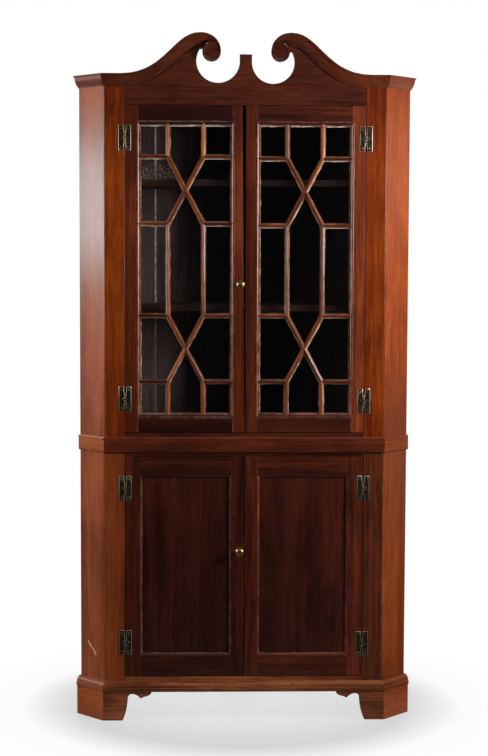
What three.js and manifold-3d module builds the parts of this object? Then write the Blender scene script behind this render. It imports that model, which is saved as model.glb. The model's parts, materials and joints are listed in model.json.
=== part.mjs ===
// Two-part corner cupboard: a glazed upper case with a swan-neck pediment
// stands on a lower case with two panelled doors and bracket feet.
// Millimetres. X runs to the right, Y to the back and Z up. The front of the
// face frame is the plane y = 0 while the pieces are made, and the finished
// group is moved so that its origin is the middle of its footprint.

import * as THREE from "three";
import { mergeVertices } from "three/addons/utils/BufferGeometryUtils.js";
import Module from "manifold-3d";

const wasm = await Module();
wasm.setup();

// Driving dimensions of both cases in plan

const FRONT_WIDTH = 978;
const RETURN_REACH = 92;
const FRAME_THICKNESS = 22;
const BACK_THICKNESS = 14;
const STILE_WIDTH = 70.5;
const SEAT = 0.3;
const OVERRUN = 5;

// Heights, from the floor up

const FOOT_HEIGHT = 102.5;
const BASE_MOULDING_HEIGHT = 35.5;
const BASE_STRIP = 15.5;
const LOWER_DOOR_HEIGHT = 782.5;
const LOWER_TOP_STRIP = 11.5;
const WAIST_HEIGHT = 54.5;
const UPPER_BOTTOM_STRIP = 15;
const UPPER_DOOR_HEIGHT = 1134;
const FRIEZE_HEIGHT = 61.5;
const CORNICE_HEIGHT = 42;
const NECK_RISE = 140.5;

// Boards inside

const BOARD_THICKNESS = 20;
const SHELF_THICKNESS = 21;
const SHELF_SETBACK = 16;
const HIGH_SHELF_CLIMB = 861.5;
const LOW_SHELF_CLIMB = 424;
const LOWER_SHELF_CLIMB = 372;
const TOP_BOARD_CLIMB = 14;
const CASE_TOP_DROP = 4.5;
const BACK_BOARD_WIDTH = 228.5;
const BACK_GROOVE = 1.5;

// Mouldings

const CORNICE_PROJECTION = 26;
const CORNICE_FILLET = 6;
const WAIST_PROJECTION = 8;
const WAIST_ROUND = 4;
const BASE_PROJECTION = 22.5;
const BASE_TOP_PROJECTION = 8;
const BASE_FASCIA = 9;

// Bracket feet

const FOOT_PROJECTION = 19.5;
const FOOT_THICKNESS = 22;
const FOOT_SOLE = 69;
const FOOT_REACH = 172;
const FOOT_BLOCK = 48;
const REAR_FOOT_DEPTH = 84;

// Pediment

const NECK_START = 430;
const CREST_X = 158;
const SCROLL_X = 118.5;
const SCROLL_DROP = 66;
const SCROLL_RADIUS = 32;
const SCROLL_PROJECTION = 23;
const SCROLL_DISH = 2.5;
const SCROLL_RIM = 5;
const CURL_END = 3.2;
const PLINTH_WIDTH = 42;
const PLINTH_DROP = 71;
const LEFT_CUT_RADIUS = 75;
const LEFT_CUT_DROP = 93.5;
const LEFT_CUT_CLIMB = 13;
const RIGHT_CUT_RADIUS = 73.5;
const RIGHT_CUT_DROP = 97.5;
const RIGHT_CUT_CLIMB = 4;
const SHOULDER_CLIMB = 34.5;
const SHOULDER_REACH = 12;
const SHOULDER_SLOPE = 9;
const SHOULDER_SLOPE_DEPTH = 14;
const BOARD_EDGE_INSET = 6;

// Doors

const DOOR_GAP = 1.5;
const MEETING_GAP = 3;
const LEFT_DOOR_TAPER = 9;
const DOOR_THICKNESS = 22;
const UPPER_HANGING_STILE = 53.5;
const UPPER_MEETING_STILE = 50;
const UPPER_TOP_RAIL = 69;
const UPPER_LOW_RAIL = 66.5;
const LOWER_HANGING_STILE = 58.5;
const LOWER_MEETING_STILE = 52;
const LOWER_TOP_RAIL = 74;
const LOWER_LOW_RAIL = 81;

// Glazing

const STICKING_WIDTH = 15.5;
const STICKING_DEPTH = 7;
const GLASS_FACE = 14;
const GLASS_THICKNESS = 3;
const REBATE = 8;
const BAR_WIDTH = 14;
const BAR_ROUND_WIDTH = 7.8;
const BAR_CROWN = 0.8;
const HIGH_CORNER_PANE = 106.5;
const LOW_CORNER_PANE = 111;
const CROSS_HEIGHT = 231;
const RIGHT_LATTICE_DROP = 5.5;

// Lower door panels

const PANEL_FACE = 9;
const PANEL_THICKNESS = 8;
const PANEL_TONGUE = 8;
const PANEL_MOULDING_WIDTH = 7;
const PANEL_MOULDING_DEPTH = 5;

// H hinges

const LEAF_WIDTH = 17.5;
const LEAF_HEIGHT = 86;
const LEAF_THICKNESS = 2;
const LEAF_OFFSET = 4;
const KNUCKLE_RADIUS = 3.5;
const KNUCKLE_HEIGHT = 28;
const DOOR_KNUCKLE_HEIGHT = 12;
const PIN_RADIUS = 1.8;
const UPPER_HIGH_HINGE_DROP = 112.5;
const UPPER_LOW_HINGE_CLIMB = 117;
const LOWER_HIGH_HINGE_DROP = 112.5;
const LOWER_LOW_HINGE_CLIMB = 121.5;
const RIGHT_HINGE_DROP = 6.5;

// Turning knobs

const KNOB_RADIUS = 14.5;
const KNOB_REACH = 34;
const KNOB_EDGE = 16.5;
const UPPER_KNOB_CLIMB = 517.5;
const LOWER_KNOB_CLIMB = 447;
const SPINDLE_RADIUS = 4;
const COLLAR_RADIUS = 9;
const COLLAR_THICKNESS = 2.5;
const TONGUE_LENGTH = 34;
const TONGUE_WIDTH = 14;
const TONGUE_THICKNESS = 4;

// Facets

const ROUND_STEPS = 28;
const SMALL_ROUND_STEPS = 14;
const CURVE_STEPS = 8;
const OGEE_STEPS = 14;
const CURL_STEPS = 14;

// Shares of the pediment, section and foot outlines

const ogeeShares = [0.56, 0.66];
const coveShares = [[0.12, 0], [0.19, 0], [0.19, 0.1], [0.29, 0.13], [0.47, 0.25], [0.64, 0.43], [0.76, 0.63],
  [0.82, 0.8], [0.85, 0.845]];
const baseOvoloShares = [[0, 1], [0.1, 0.93], [0.36, 0.84], [0.62, 0.66], [0.82, 0.42], [0.86, 0.2], [1, 0.16],
  [1, 0]];
const stickingShares = [[1, 0], [1, 0.18], [0.92, 0.18], [0.8, 0.05], [0.62, 0.1], [0.42, 0.34], [0.28, 0.7],
  [0.26, 1], [0, 1]];
const panelMouldingShares = [[1, 0], [0.9, 0.3], [0.6, 0.42], [0.25, 0.7], [0.1, 1], [0, 1]];
const barRoundShares = [[1, 0], [0.97, 0.38], [0.78, 0.72], [0.42, 0.94], [0, 1]];
const knobShares = [[0.36, 0.1], [0.33, 0.3], [0.42, 0.44], [0.78, 0.52], [0.97, 0.62], [1, 0.72], [0.93, 0.84],
  [0.7, 0.95], [0.36, 0.995]];
const sidePaneShare = 0.3015;
const barEndShare = 0.7;
const footCurveShares = {
  heel: [0.494, 0.29, 0.512, 0.8],
  arch: [0.52, 0.96, 0.66, 1.0, 0.779, 0.757],
  tail: [0.8, 0.86, 0.98, 0.8, 1, 1],
};

// Levels worked out from the heights

const BASE_TOP = FOOT_HEIGHT + BASE_MOULDING_HEIGHT;
const LOWER_RAIL_TOP = BASE_TOP + BASE_STRIP;
const LOWER_DOOR_BASE = LOWER_RAIL_TOP + DOOR_GAP;
const LOWER_DOOR_TOP = LOWER_DOOR_BASE + LOWER_DOOR_HEIGHT;
const LOWER_HEAD = LOWER_DOOR_TOP + DOOR_GAP;
const WAIST_BASE = LOWER_HEAD + LOWER_TOP_STRIP;
const WAIST_TOP = WAIST_BASE + WAIST_HEIGHT;
const CASE_JOINT = WAIST_BASE + WAIST_HEIGHT / 2;
const UPPER_SILL = WAIST_TOP + UPPER_BOTTOM_STRIP;
const UPPER_DOOR_BASE = UPPER_SILL + DOOR_GAP;
const UPPER_DOOR_TOP = UPPER_DOOR_BASE + UPPER_DOOR_HEIGHT;
const UPPER_HEAD = UPPER_DOOR_TOP + DOOR_GAP;
const CORNICE_BASE = UPPER_HEAD + FRIEZE_HEIGHT;
const CORNICE_TOP = CORNICE_BASE + CORNICE_HEIGHT;
const CREST = CORNICE_TOP + NECK_RISE;
const TOP_BOARD_BASE = UPPER_HEAD + TOP_BOARD_CLIMB;
const CASE_TOP = CORNICE_TOP - CASE_TOP_DROP;

// Places in plan

const HALF_FRONT = FRONT_WIDTH / 2;
const STILE_EDGE = HALF_FRONT - STILE_WIDTH;
const ROOM_CORNER = HALF_FRONT + 2 * RETURN_REACH;
const MITRE = Math.tan(Math.PI / 8);
const WALL_LENGTH = Math.SQRT2 * (HALF_FRONT + RETURN_REACH);
const PIN_X = STILE_EDGE - DOOR_GAP / 2;
const PIN_Y = -KNUCKLE_RADIUS - SEAT;

const walnut = { color: 0x7a3a1c, roughness: 0.42, metalness: 0 };
const darkWalnut = { color: 0x4a1c10, roughness: 0.4, metalness: 0 };
const innerWood = { color: 0x5a4238, roughness: 0.8, metalness: 0 };
const glass = { color: 0x1a2022, roughness: 0.08, metalness: 0 };
const iron = { color: 0x4a443a, roughness: 0.5, metalness: 0.85 };
const brass = { color: 0x9a8248, roughness: 0.3, metalness: 0.95 };

const cupboard = new THREE.Group();

function addPiece(parent, name, geometry, look) {
  const mesh = new THREE.Mesh(geometry, new THREE.MeshStandardMaterial(look));
  mesh.name = name;
  parent.add(mesh);
  return mesh;
}

// Solids and their cuts

function toSolid(geometry) {
  const bare = geometry.clone();
  bare.deleteAttribute("normal");
  bare.deleteAttribute("uv");
  const merged = mergeVertices(bare);
  const mesh = new wasm.Mesh({
    numProp: 3,
    vertProperties: new Float32Array(merged.attributes.position.array),
    triVerts: new Uint32Array(merged.index.array),
  });
  return new wasm.Manifold(mesh);
}

function toGeometry(solid) {
  const mesh = solid.getMesh();
  const geometry = new THREE.BufferGeometry();
  geometry.setAttribute("position", new THREE.BufferAttribute(new Float32Array(mesh.vertProperties), 3));
  geometry.setIndex(new THREE.BufferAttribute(new Uint32Array(mesh.triVerts), 1));
  geometry.computeVertexNormals();
  return geometry;
}

function joined(geometries) {
  return geometries.map(toSolid).reduce((whole, next) => whole.add(next));
}

// A box between two corners
function block(low, high) {
  const geometry = new THREE.BoxGeometry(high[0] - low[0], high[1] - low[1], high[2] - low[2]);
  geometry.translate((low[0] + high[0]) / 2, (low[1] + high[1]) / 2, (low[2] + high[2]) / 2);
  return geometry;
}

// A board drawn in plan and raised from one level to another
function raised(points, bottom, top) {
  const shape = new THREE.Shape(points.map(([x, y]) => new THREE.Vector2(x, y)));
  const geometry = new THREE.ExtrudeGeometry(shape, { depth: top - bottom, bevelEnabled: false });
  geometry.translate(0, 0, bottom);
  return geometry;
}

// A board drawn in elevation, between a front and a back plane
function fronted(shape, front, back) {
  const settings = { depth: back - front, bevelEnabled: false, curveSegments: CURVE_STEPS };
  const geometry = new THREE.ExtrudeGeometry(shape, settings);
  geometry.rotateX(Math.PI / 2);
  geometry.translate(0, back, 0);
  return geometry;
}

// A turned piece about an axis that runs along Y; the profile holds radius and y
function turned(profile, x, z, steps) {
  const geometry = new THREE.LatheGeometry(profile.map(([r, y]) => new THREE.Vector2(r, y)), steps);
  geometry.translate(x, 0, z);
  return facingOut(geometry);
}

// An upright round bar
function rod(radius, x, y, bottom, top) {
  const geometry = new THREE.CylinderGeometry(radius, radius, top - bottom, SMALL_ROUND_STEPS);
  geometry.rotateX(Math.PI / 2);
  geometry.translate(x, y, (bottom + top) / 2);
  return geometry;
}

// Turns a closed surface so that its faces point out
function facingOut(geometry) {
  const bare = geometry.clone();
  bare.deleteAttribute("normal");
  bare.deleteAttribute("uv");
  const merged = mergeVertices(bare);
  const position = merged.attributes.position;
  const corners = merged.index.array;
  const a = new THREE.Vector3();
  const b = new THREE.Vector3();
  const c = new THREE.Vector3();
  const kept = [];
  let volume = 0;
  for (let k = 0; k < corners.length; k += 3) {
    const [i, j, l] = [corners[k], corners[k + 1], corners[k + 2]];
    if (i === j || j === l || l === i) continue;
    a.fromBufferAttribute(position, i);
    b.fromBufferAttribute(position, j);
    c.fromBufferAttribute(position, l);
    volume += a.dot(b.cross(c));
    kept.push([i, j, l]);
  }
  const order = volume > 0 ? kept : kept.map(([i, j, l]) => [i, l, j]);
  merged.setIndex(order.flat());
  merged.computeVertexNormals();
  return merged;
}

// A closed surface through a row of stations, each of which places the same
// section outline in space
function swept(outline, stations) {
  const flat = outline.map(([u, v]) => new THREE.Vector2(u, v));
  if (THREE.ShapeUtils.isClockWise(flat)) flat.reverse();
  const count = flat.length;
  const points = stations.flatMap((place) => flat.map((point) => place(point.x, point.y)));
  const index = [];
  for (let row = 0; row + 1 < stations.length; row += 1) {
    for (let k = 0; k < count; k += 1) {
      const a = row * count + k;
      const b = row * count + ((k + 1) % count);
      index.push(a, b, b + count, a, b + count, a + count);
    }
  }
  const last = (stations.length - 1) * count;
  THREE.ShapeUtils.triangulateShape(flat, []).forEach(([i, j, k]) => {
    index.push(k, j, i);
    index.push(last + i, last + j, last + k);
  });
  const geometry = new THREE.BufferGeometry().setFromPoints(points);
  geometry.setIndex(index);
  return facingOut(geometry);
}

// Plan of the cases: a front, two canted returns and two backs that meet in
// the corner of the room

// Where a line alongside the return, `out` beyond its face, crosses a line
// alongside the wall, `inset` in from it
function rearCorner(out, inset) {
  const across = HALF_FRONT + out * Math.SQRT2;
  const along = ROOM_CORNER - inset * Math.SQRT2;
  return [(across + along) / 2, (along - across) / 2];
}

function onWall(distance, inset) {
  const [x, y] = [(distance - inset) * Math.SQRT1_2, (distance + inset) * Math.SQRT1_2];
  return [x, ROOM_CORNER - y];
}

function onSide(side, points) {
  return points.map(([x, y]) => [side * x, y]);
}

function stilePlan(side) {
  const outer = HALF_FRONT - SEAT;
  const inner = outer - MITRE * FRAME_THICKNESS;
  return onSide(side, [[STILE_EDGE, 0], [outer, 0], [inner, FRAME_THICKNESS], [STILE_EDGE, FRAME_THICKNESS]]);
}

function returnPlan(side) {
  const inner = [HALF_FRONT - MITRE * FRAME_THICKNESS, FRAME_THICKNESS];
  return onSide(side, [[HALF_FRONT, 0], rearCorner(0, 0), rearCorner(-FRAME_THICKNESS, 0), inner]);
}

// The back is a row of upright boards with a groove at each joint
function backPlan(side) {
  const start = SEAT;
  const end = WALL_LENGTH - FRAME_THICKNESS - SEAT;
  const outer = [onWall(start, 0)];
  const inner = [onWall(start + BACK_THICKNESS, BACK_THICKNESS)];
  for (let joint = BACK_BOARD_WIDTH; joint < end - BACK_BOARD_WIDTH / 4; joint += BACK_BOARD_WIDTH) {
    outer.push(onWall(joint - BACK_GROOVE, 0), onWall(joint, BACK_GROOVE), onWall(joint + BACK_GROOVE, 0));
    inner.push(onWall(joint - BACK_GROOVE, BACK_THICKNESS));
    inner.push(onWall(joint, BACK_THICKNESS - BACK_GROOVE));
    inner.push(onWall(joint + BACK_GROOVE, BACK_THICKNESS));
  }
  outer.push(onWall(end, 0));
  inner.push(onWall(end, BACK_THICKNESS));
  return onSide(side, [...outer, ...inner.reverse()]);
}

// The floor of either case, from a front line back to the corner
function floorPlan(front) {
  const across = FRAME_THICKNESS + SEAT;
  const inset = BACK_THICKNESS + SEAT;
  const frontX = HALF_FRONT - across * Math.SQRT2 + front;
  const [cornerX, cornerY] = rearCorner(-across, inset);
  return [[-frontX, front], [frontX, front], [cornerX, cornerY],
    [0, ROOM_CORNER - inset * Math.SQRT2], [-cornerX, cornerY]];
}

// The places where a moulding turns, for a point that stands out from the
// faces by p: wall end and front corner of one side
function wallStation(side) {
  return (p, z) => {
    const [x, y] = rearCorner(p, 0);
    return new THREE.Vector3(side * x, y, z);
  };
}

function cornerStation(side) {
  return (p, z) => new THREE.Vector3(side * (HALF_FRONT + MITRE * p), -p, z);
}

const roundTheFront = [wallStation(-1), cornerStation(-1), cornerStation(1), wallStation(1)];

function addCaseSides(prefix, bottom, top, backTop) {
  [["left", -1], ["right", 1]].forEach(([word, side]) => {
    addPiece(cupboard, `${prefix}_stile_${word}`, raised(stilePlan(side), bottom, top), walnut);
    addPiece(cupboard, `${prefix}_return_${word}`, raised(returnPlan(side), bottom, top), walnut);
    addPiece(cupboard, `${prefix}_back_${word}`, raised(backPlan(side), bottom, backTop), innerWood);
  });
}

function addRail(name, bottom, top) {
  const edge = STILE_EDGE - SEAT;
  addPiece(cupboard, name, block([-edge, 0, bottom], [edge, FRAME_THICKNESS, top]), walnut);
}

function addFloor(name, bottom, thickness, front) {
  addPiece(cupboard, name, raised(floorPlan(front), bottom, bottom + thickness), innerWood);
}

// Lower case

function addLowerCase() {
  const behindFrame = FRAME_THICKNESS + SEAT;
  addCaseSides("lower", FOOT_HEIGHT + SEAT, CASE_JOINT, CASE_JOINT);
  addRail("lower_bottom_rail", FOOT_HEIGHT + SEAT, LOWER_RAIL_TOP);
  addRail("lower_top_rail", LOWER_HEAD, CASE_JOINT);
  addFloor("lower_bottom_board", LOWER_RAIL_TOP - BOARD_THICKNESS, BOARD_THICKNESS, behindFrame);
  addFloor("lower_shelf", LOWER_RAIL_TOP + LOWER_SHELF_CLIMB, SHELF_THICKNESS, behindFrame + SHELF_SETBACK);
  addFloor("lower_top_board", CASE_JOINT - BOARD_THICKNESS, BOARD_THICKNESS, behindFrame);
}

// Base moulding: an ovolo over a plain fascia, mitred round the three faces
function addBaseMoulding() {
  const bottom = FOOT_HEIGHT + SEAT;
  const rise = BASE_TOP - bottom - BASE_FASCIA;
  const spread = BASE_PROJECTION - BASE_TOP_PROJECTION;
  const ovolo = baseOvoloShares.map(([p, z]) => [
    BASE_TOP_PROJECTION + p * spread, bottom + BASE_FASCIA + z * rise]);
  const outline = [[SEAT, bottom], [SEAT, BASE_TOP], ...ovolo, [BASE_PROJECTION, bottom]];
  addPiece(cupboard, "base_moulding", swept(outline, roundTheFront), walnut);
}

// Waist band: a flat band with rounded edges over the joint of the cases
function addWaistBand() {
  const edge = WAIST_PROJECTION - WAIST_ROUND;
  const half = WAIST_ROUND * Math.SQRT1_2;
  const low = WAIST_BASE + WAIST_ROUND;
  const high = WAIST_TOP - WAIST_ROUND;
  const outline = [[SEAT, WAIST_BASE], [SEAT, WAIST_TOP], [edge, WAIST_TOP], [edge + half, high + half],
    [WAIST_PROJECTION, high], [WAIST_PROJECTION, low], [edge + half, low - half], [edge, WAIST_BASE]];
  addPiece(cupboard, "waist_band", swept(outline, roundTheFront), walnut);
}

// Feet: a shaped bracket across the front and a plain one along the return,
// with a glue block in the angle that carries the case
function footOutline(side, corner) {
  const at = (reachShare, heightShare) => [
    side * (corner - reachShare * FOOT_REACH), heightShare * FOOT_HEIGHT];
  const { heel, arch, tail } = footCurveShares;
  const shape = new THREE.Shape();
  shape.moveTo(side * (corner + OVERRUN), 0);
  shape.lineTo(side * (corner - FOOT_SOLE), 0);
  shape.quadraticCurveTo(...at(heel[0], heel[1]), ...at(heel[2], heel[3]));
  shape.bezierCurveTo(...at(arch[0], arch[1]), ...at(arch[2], arch[3]), ...at(arch[4], arch[5]));
  shape.bezierCurveTo(...at(tail[0], tail[1]), ...at(tail[2], tail[3]), ...at(tail[4], tail[5]));
  shape.lineTo(side * (corner + OVERRUN), FOOT_HEIGHT);
  shape.closePath();
  return shape;
}

function addFoot(word, side) {
  const inside = FOOT_PROJECTION - FOOT_THICKNESS;
  const corner = HALF_FRONT + MITRE * FOOT_PROJECTION;
  const innerCorner = [HALF_FRONT + MITRE * inside, -inside];
  const [rearX, rearY] = rearCorner(FOOT_PROJECTION, 0);
  const [rearInX, rearInY] = rearCorner(inside, 0);
  const reach = corner - FOOT_REACH;
  const frontPlan = onSide(side, [[reach, -FOOT_PROJECTION], [corner, -FOOT_PROJECTION], innerCorner,
    [reach, -inside]]);
  const returnBracket = onSide(side, [[corner, -FOOT_PROJECTION], [rearX, rearY], [rearInX, rearInY],
    innerCorner]);
  const blockBack = FOOT_BLOCK + HALF_FRONT - innerCorner[0];
  const gluePlan = onSide(side, [[innerCorner[0] - FOOT_BLOCK, -inside - SEAT], innerCorner,
    [innerCorner[0] + FOOT_BLOCK, FOOT_BLOCK - inside], [innerCorner[0] - FOOT_BLOCK, blockBack]]);
  const bracket = toSolid(raised(frontPlan, 0, FOOT_HEIGHT))
    .intersect(toSolid(fronted(footOutline(side, corner), -FOOT_PROJECTION - OVERRUN, OVERRUN)));
  const foot = bracket
    .add(toSolid(raised(returnBracket, 0, FOOT_HEIGHT)))
    .add(toSolid(raised(gluePlan, 0, FOOT_HEIGHT)));
  addPiece(cupboard, `foot_${word}`, toGeometry(foot), walnut);
}

// The rear foot is a three-sided post under the corner of the backs
function addRearFoot() {
  const plan = [[0, ROOM_CORNER], [REAR_FOOT_DEPTH, ROOM_CORNER - REAR_FOOT_DEPTH],
    [-REAR_FOOT_DEPTH, ROOM_CORNER - REAR_FOOT_DEPTH]];
  addPiece(cupboard, "foot_rear", raised(plan, 0, FOOT_HEIGHT), innerWood);
}

// Upper case

function addUpperCase() {
  const behindFrame = FRAME_THICKNESS + SEAT;
  const shelfFront = behindFrame + SHELF_SETBACK;
  const bottom = CASE_JOINT + SEAT;
  addCaseSides("upper", bottom, CASE_TOP, TOP_BOARD_BASE + BOARD_THICKNESS);
  addRail("upper_bottom_rail", bottom, UPPER_SILL);
  addFloor("upper_bottom_board", UPPER_SILL - BOARD_THICKNESS, BOARD_THICKNESS, behindFrame);
  addFloor("upper_low_shelf", UPPER_SILL + LOW_SHELF_CLIMB, SHELF_THICKNESS, shelfFront);
  addFloor("upper_high_shelf", UPPER_SILL + HIGH_SHELF_CLIMB, SHELF_THICKNESS, shelfFront);
  addFloor("upper_top_board", TOP_BOARD_BASE, BOARD_THICKNESS, behindFrame);
}

// Upper edge of one swan neck as a row of points, each with the direction
// into the moulding and the width of the moulding there. An ogee climbs to the
// crest, and a tightening curl winds from the crest to the scroll.
function neckEdge() {
  const run = NECK_START - CREST_X;
  const ogee = new THREE.CubicBezierCurve(
    new THREE.Vector2(NECK_START, CORNICE_TOP),
    new THREE.Vector2(NECK_START - ogeeShares[0] * run, CORNICE_TOP),
    new THREE.Vector2(NECK_START - ogeeShares[1] * run, CREST),
    new THREE.Vector2(CREST_X, CREST),
  );
  const edge = [];
  for (let step = 0; step <= OGEE_STEPS; step += 1) {
    const share = step / OGEE_STEPS;
    const way = ogee.getTangent(share);
    edge.push({ point: ogee.getPoint(share), inward: new THREE.Vector2(-way.y, way.x), width: CORNICE_HEIGHT });
  }
  const start = new THREE.Vector2(CREST_X - SCROLL_X, SCROLL_DROP);
  const startAngle = start.angle();
  const startRadius = start.length();
  const turn = Math.PI - startAngle;
  for (let step = 1; step <= CURL_STEPS; step += 1) {
    const share = step / CURL_STEPS;
    const left = (1 - share) ** 2;
    const angle = startAngle + share * turn;
    const radius = SCROLL_RADIUS + left * (startRadius - SCROLL_RADIUS);
    const climb = (-2 * (1 - share) * (startRadius - SCROLL_RADIUS)) / turn;
    const radial = new THREE.Vector2(Math.cos(angle), Math.sin(angle));
    const around = new THREE.Vector2(-radial.y, radial.x);
    const way = radial.clone().multiplyScalar(climb).addScaledVector(around, radius).normalize();
    const point = radial.multiplyScalar(radius).add(new THREE.Vector2(SCROLL_X, CREST - SCROLL_DROP));
    const width = CORNICE_HEIGHT * left + CURL_END * share;
    edge.push({ point, inward: new THREE.Vector2(-way.y, way.x), width });
  }
  return edge;
}

// Section of the cornice as projection and depth below the top edge: a top
// fillet, a deep cove and a small fillet at the foot
function corniceSection() {
  const cove = coveShares.map(([p, climb]) => [p * CORNICE_PROJECTION, CORNICE_HEIGHT * (1 - climb)]);
  return [[SEAT, CORNICE_HEIGHT], ...cove, [CORNICE_PROJECTION, CORNICE_FILLET], [CORNICE_PROJECTION, 0],
    [SEAT, 0]];
}

// The fillet keeps its width as the moulding narrows, and the cove closes up
function narrowed(depth, width) {
  const fillet = Math.min(CORNICE_FILLET, width / 2);
  if (depth <= CORNICE_FILLET) return (depth * fillet) / CORNICE_FILLET;
  return fillet + ((depth - CORNICE_FILLET) * (width - fillet)) / (CORNICE_HEIGHT - CORNICE_FILLET);
}

function neckStation(side, { point, inward, width }) {
  return (p, depth) => {
    const into = narrowed(depth, width);
    return new THREE.Vector3(side * (point.x + inward.x * into), -p, point.y + inward.y * into);
  };
}

// Shoulder of a scroll: the boss runs up level into the curl and ends in a
// slope back to the cove
function shoulder(side, edge) {
  const middle = CREST - SCROLL_DROP;
  const top = middle + SHOULDER_CLIMB + SHOULDER_SLOPE;
  const rim = edge.filter(({ point }, k) => k > OGEE_STEPS && point.y < top && point.x < SCROLL_X)
    .map(({ point, inward }) => [point.x + inward.x, point.y + inward.y]);
  const outline = [[SCROLL_X + SHOULDER_REACH, middle], [SCROLL_X + SHOULDER_REACH, top], ...rim];
  const shape = new THREE.Shape(outline.map(([x, z]) => new THREE.Vector2(side * x, z)));
  const slope = new THREE.Vector3(0, SHOULDER_SLOPE, -SHOULDER_SLOPE_DEPTH).normalize();
  const start = new THREE.Vector3(0, -SCROLL_PROJECTION, middle + SHOULDER_CLIMB);
  return toSolid(fronted(shape, -SCROLL_PROJECTION, -SEAT)).trimByPlane(slope.toArray(), slope.dot(start));
}

// Swan neck: the cornice leaves the front corner level, climbs, and curls
// round a dished scroll boss
function addSwanNeck(word, side) {
  const mitred = (p, depth) => new THREE.Vector3(
    side * (HALF_FRONT + MITRE * p - SEAT), -p, CORNICE_TOP - depth);
  const edge = neckEdge();
  const stations = [mitred, ...edge.map((place) => neckStation(side, place))];
  const front = -SCROLL_PROJECTION;
  const dished = front + SCROLL_DISH;
  const boss = turned([[0, dished], [SCROLL_RADIUS - 2 * SCROLL_RIM, dished], [SCROLL_RADIUS - SCROLL_RIM, front],
    [SCROLL_RADIUS, front + SCROLL_DISH / 2], [SCROLL_RADIUS, -SEAT], [0, -SEAT]],
  side * SCROLL_X, CREST - SCROLL_DROP, ROUND_STEPS);
  const hollow = turned([[0, front - OVERRUN], [SCROLL_RADIUS - SCROLL_RIM, front - OVERRUN],
    [SCROLL_RADIUS - SCROLL_RIM, front], [SCROLL_RADIUS - 2 * SCROLL_RIM, dished], [0, dished]],
  side * SCROLL_X, CREST - SCROLL_DROP, ROUND_STEPS);
  const neck = joined([swept(corniceSection(), stations), boss])
    .add(shoulder(side, edge).subtract(toSolid(hollow)));
  addPiece(cupboard, `swan_neck_${word}`, toGeometry(neck), darkWalnut);
}

function addCorniceReturn(word, side) {
  const level = (station) => (p, depth) => station(p, CORNICE_TOP - depth);
  const geometry = swept(corniceSection(), [level(cornerStation(side)), level(wallStation(side))]);
  addPiece(cupboard, `cornice_return_${word}`, geometry, walnut);
}

// Pediment board: frieze, tympanum and centre plinth in one board, with two
// round openings that end against a disc behind each scroll
function addPedimentBoard() {
  const edge = neckEdge();
  const ogee = edge.slice(0, OGEE_STEPS + 1);
  const curl = edge.slice(OGEE_STEPS - 1);
  const board = STILE_EDGE - SEAT;
  const cuts = [
    [-1, LEFT_CUT_RADIUS, LEFT_CUT_DROP, LEFT_CUT_CLIMB],
    [1, RIGHT_CUT_RADIUS, RIGHT_CUT_DROP, RIGHT_CUT_CLIMB],
  ];
  const cutX = PLINTH_WIDTH / 2 + LEFT_CUT_RADIUS;
  const cutZ = CREST - LEFT_CUT_DROP;
  const plinthTop = CREST - PLINTH_DROP;
  const half = [[board, UPPER_HEAD], [board, CORNICE_TOP - BOARD_EDGE_INSET]];
  ogee.forEach(({ point, inward }) => {
    const x = point.x + inward.x * BOARD_EDGE_INSET;
    if (x < board) half.push([x, point.y + inward.y * BOARD_EDGE_INSET]);
  });
  half.push([cutX, cutZ], [PLINTH_WIDTH / 2, cutZ], [PLINTH_WIDTH / 2, plinthTop]);
  const mirrored = half.map(([x, z]) => [-x, z]).reverse();
  const shape = new THREE.Shape([...half, ...mirrored].map(([x, z]) => new THREE.Vector2(x, z)));
  let solid = toSolid(fronted(shape, 0, FRAME_THICKNESS));
  cuts.forEach(([side, radius, drop, climb]) => {
    const drill = turned([[0, -OVERRUN], [radius, -OVERRUN], [radius, FRAME_THICKNESS + OVERRUN],
      [0, FRAME_THICKNESS + OVERRUN]], side * (PLINTH_WIDTH / 2 + radius), CREST - drop, 2 * ROUND_STEPS);
    const edges = [side * SCROLL_X, side * STILE_EDGE];
    const kept = block([Math.min(...edges), -2 * OVERRUN, CREST - SCROLL_DROP + climb],
      [Math.max(...edges), FRAME_THICKNESS + 2 * OVERRUN, CREST]);
    solid = solid.subtract(toSolid(drill).subtract(toSolid(kept)));
  });
  [-1, 1].forEach((side) => {
    const horn = curl.map(({ point, inward, width }) => (share, y) => {
      const top = Math.min(BOARD_EDGE_INSET, width / 2);
      const into = top + share * (width + SCROLL_DISH - top);
      return new THREE.Vector3(side * (point.x + inward.x * into), y, point.y + inward.y * into);
    });
    const radius = SCROLL_RADIUS - CURL_END;
    const disc = turned([[0, 0], [radius, 0], [radius, FRAME_THICKNESS], [0, FRAME_THICKNESS]],
      side * SCROLL_X, CREST - SCROLL_DROP, ROUND_STEPS);
    const strip = swept([[0, 0], [1, 0], [1, FRAME_THICKNESS], [0, FRAME_THICKNESS]], horn);
    solid = solid.add(toSolid(strip)).add(toSolid(disc));
  });
  addPiece(cupboard, "pediment_board", toGeometry(solid), darkWalnut);
}

// Doors, each in a group whose origin is on the hinge pin

// Outer edges and sight edges of a door, as distances from the middle line
function doorSizes(base, height, hanging, meeting, topRail, lowRail) {
  const near = MEETING_GAP / 2;
  const far = STILE_EDGE - DOOR_GAP;
  return {
    near,
    far,
    base,
    top: base + height,
    sightNear: near + meeting,
    sightFar: far - hanging,
    sightBase: base + lowRail,
    sightTop: base + height - topRail,
  };
}

const upperDoor = doorSizes(UPPER_DOOR_BASE, UPPER_DOOR_HEIGHT, UPPER_HANGING_STILE, UPPER_MEETING_STILE,
  UPPER_TOP_RAIL, UPPER_LOW_RAIL);
const lowerDoor = doorSizes(LOWER_DOOR_BASE, LOWER_DOOR_HEIGHT, LOWER_HANGING_STILE, LOWER_MEETING_STILE,
  LOWER_TOP_RAIL, LOWER_LOW_RAIL);

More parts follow.
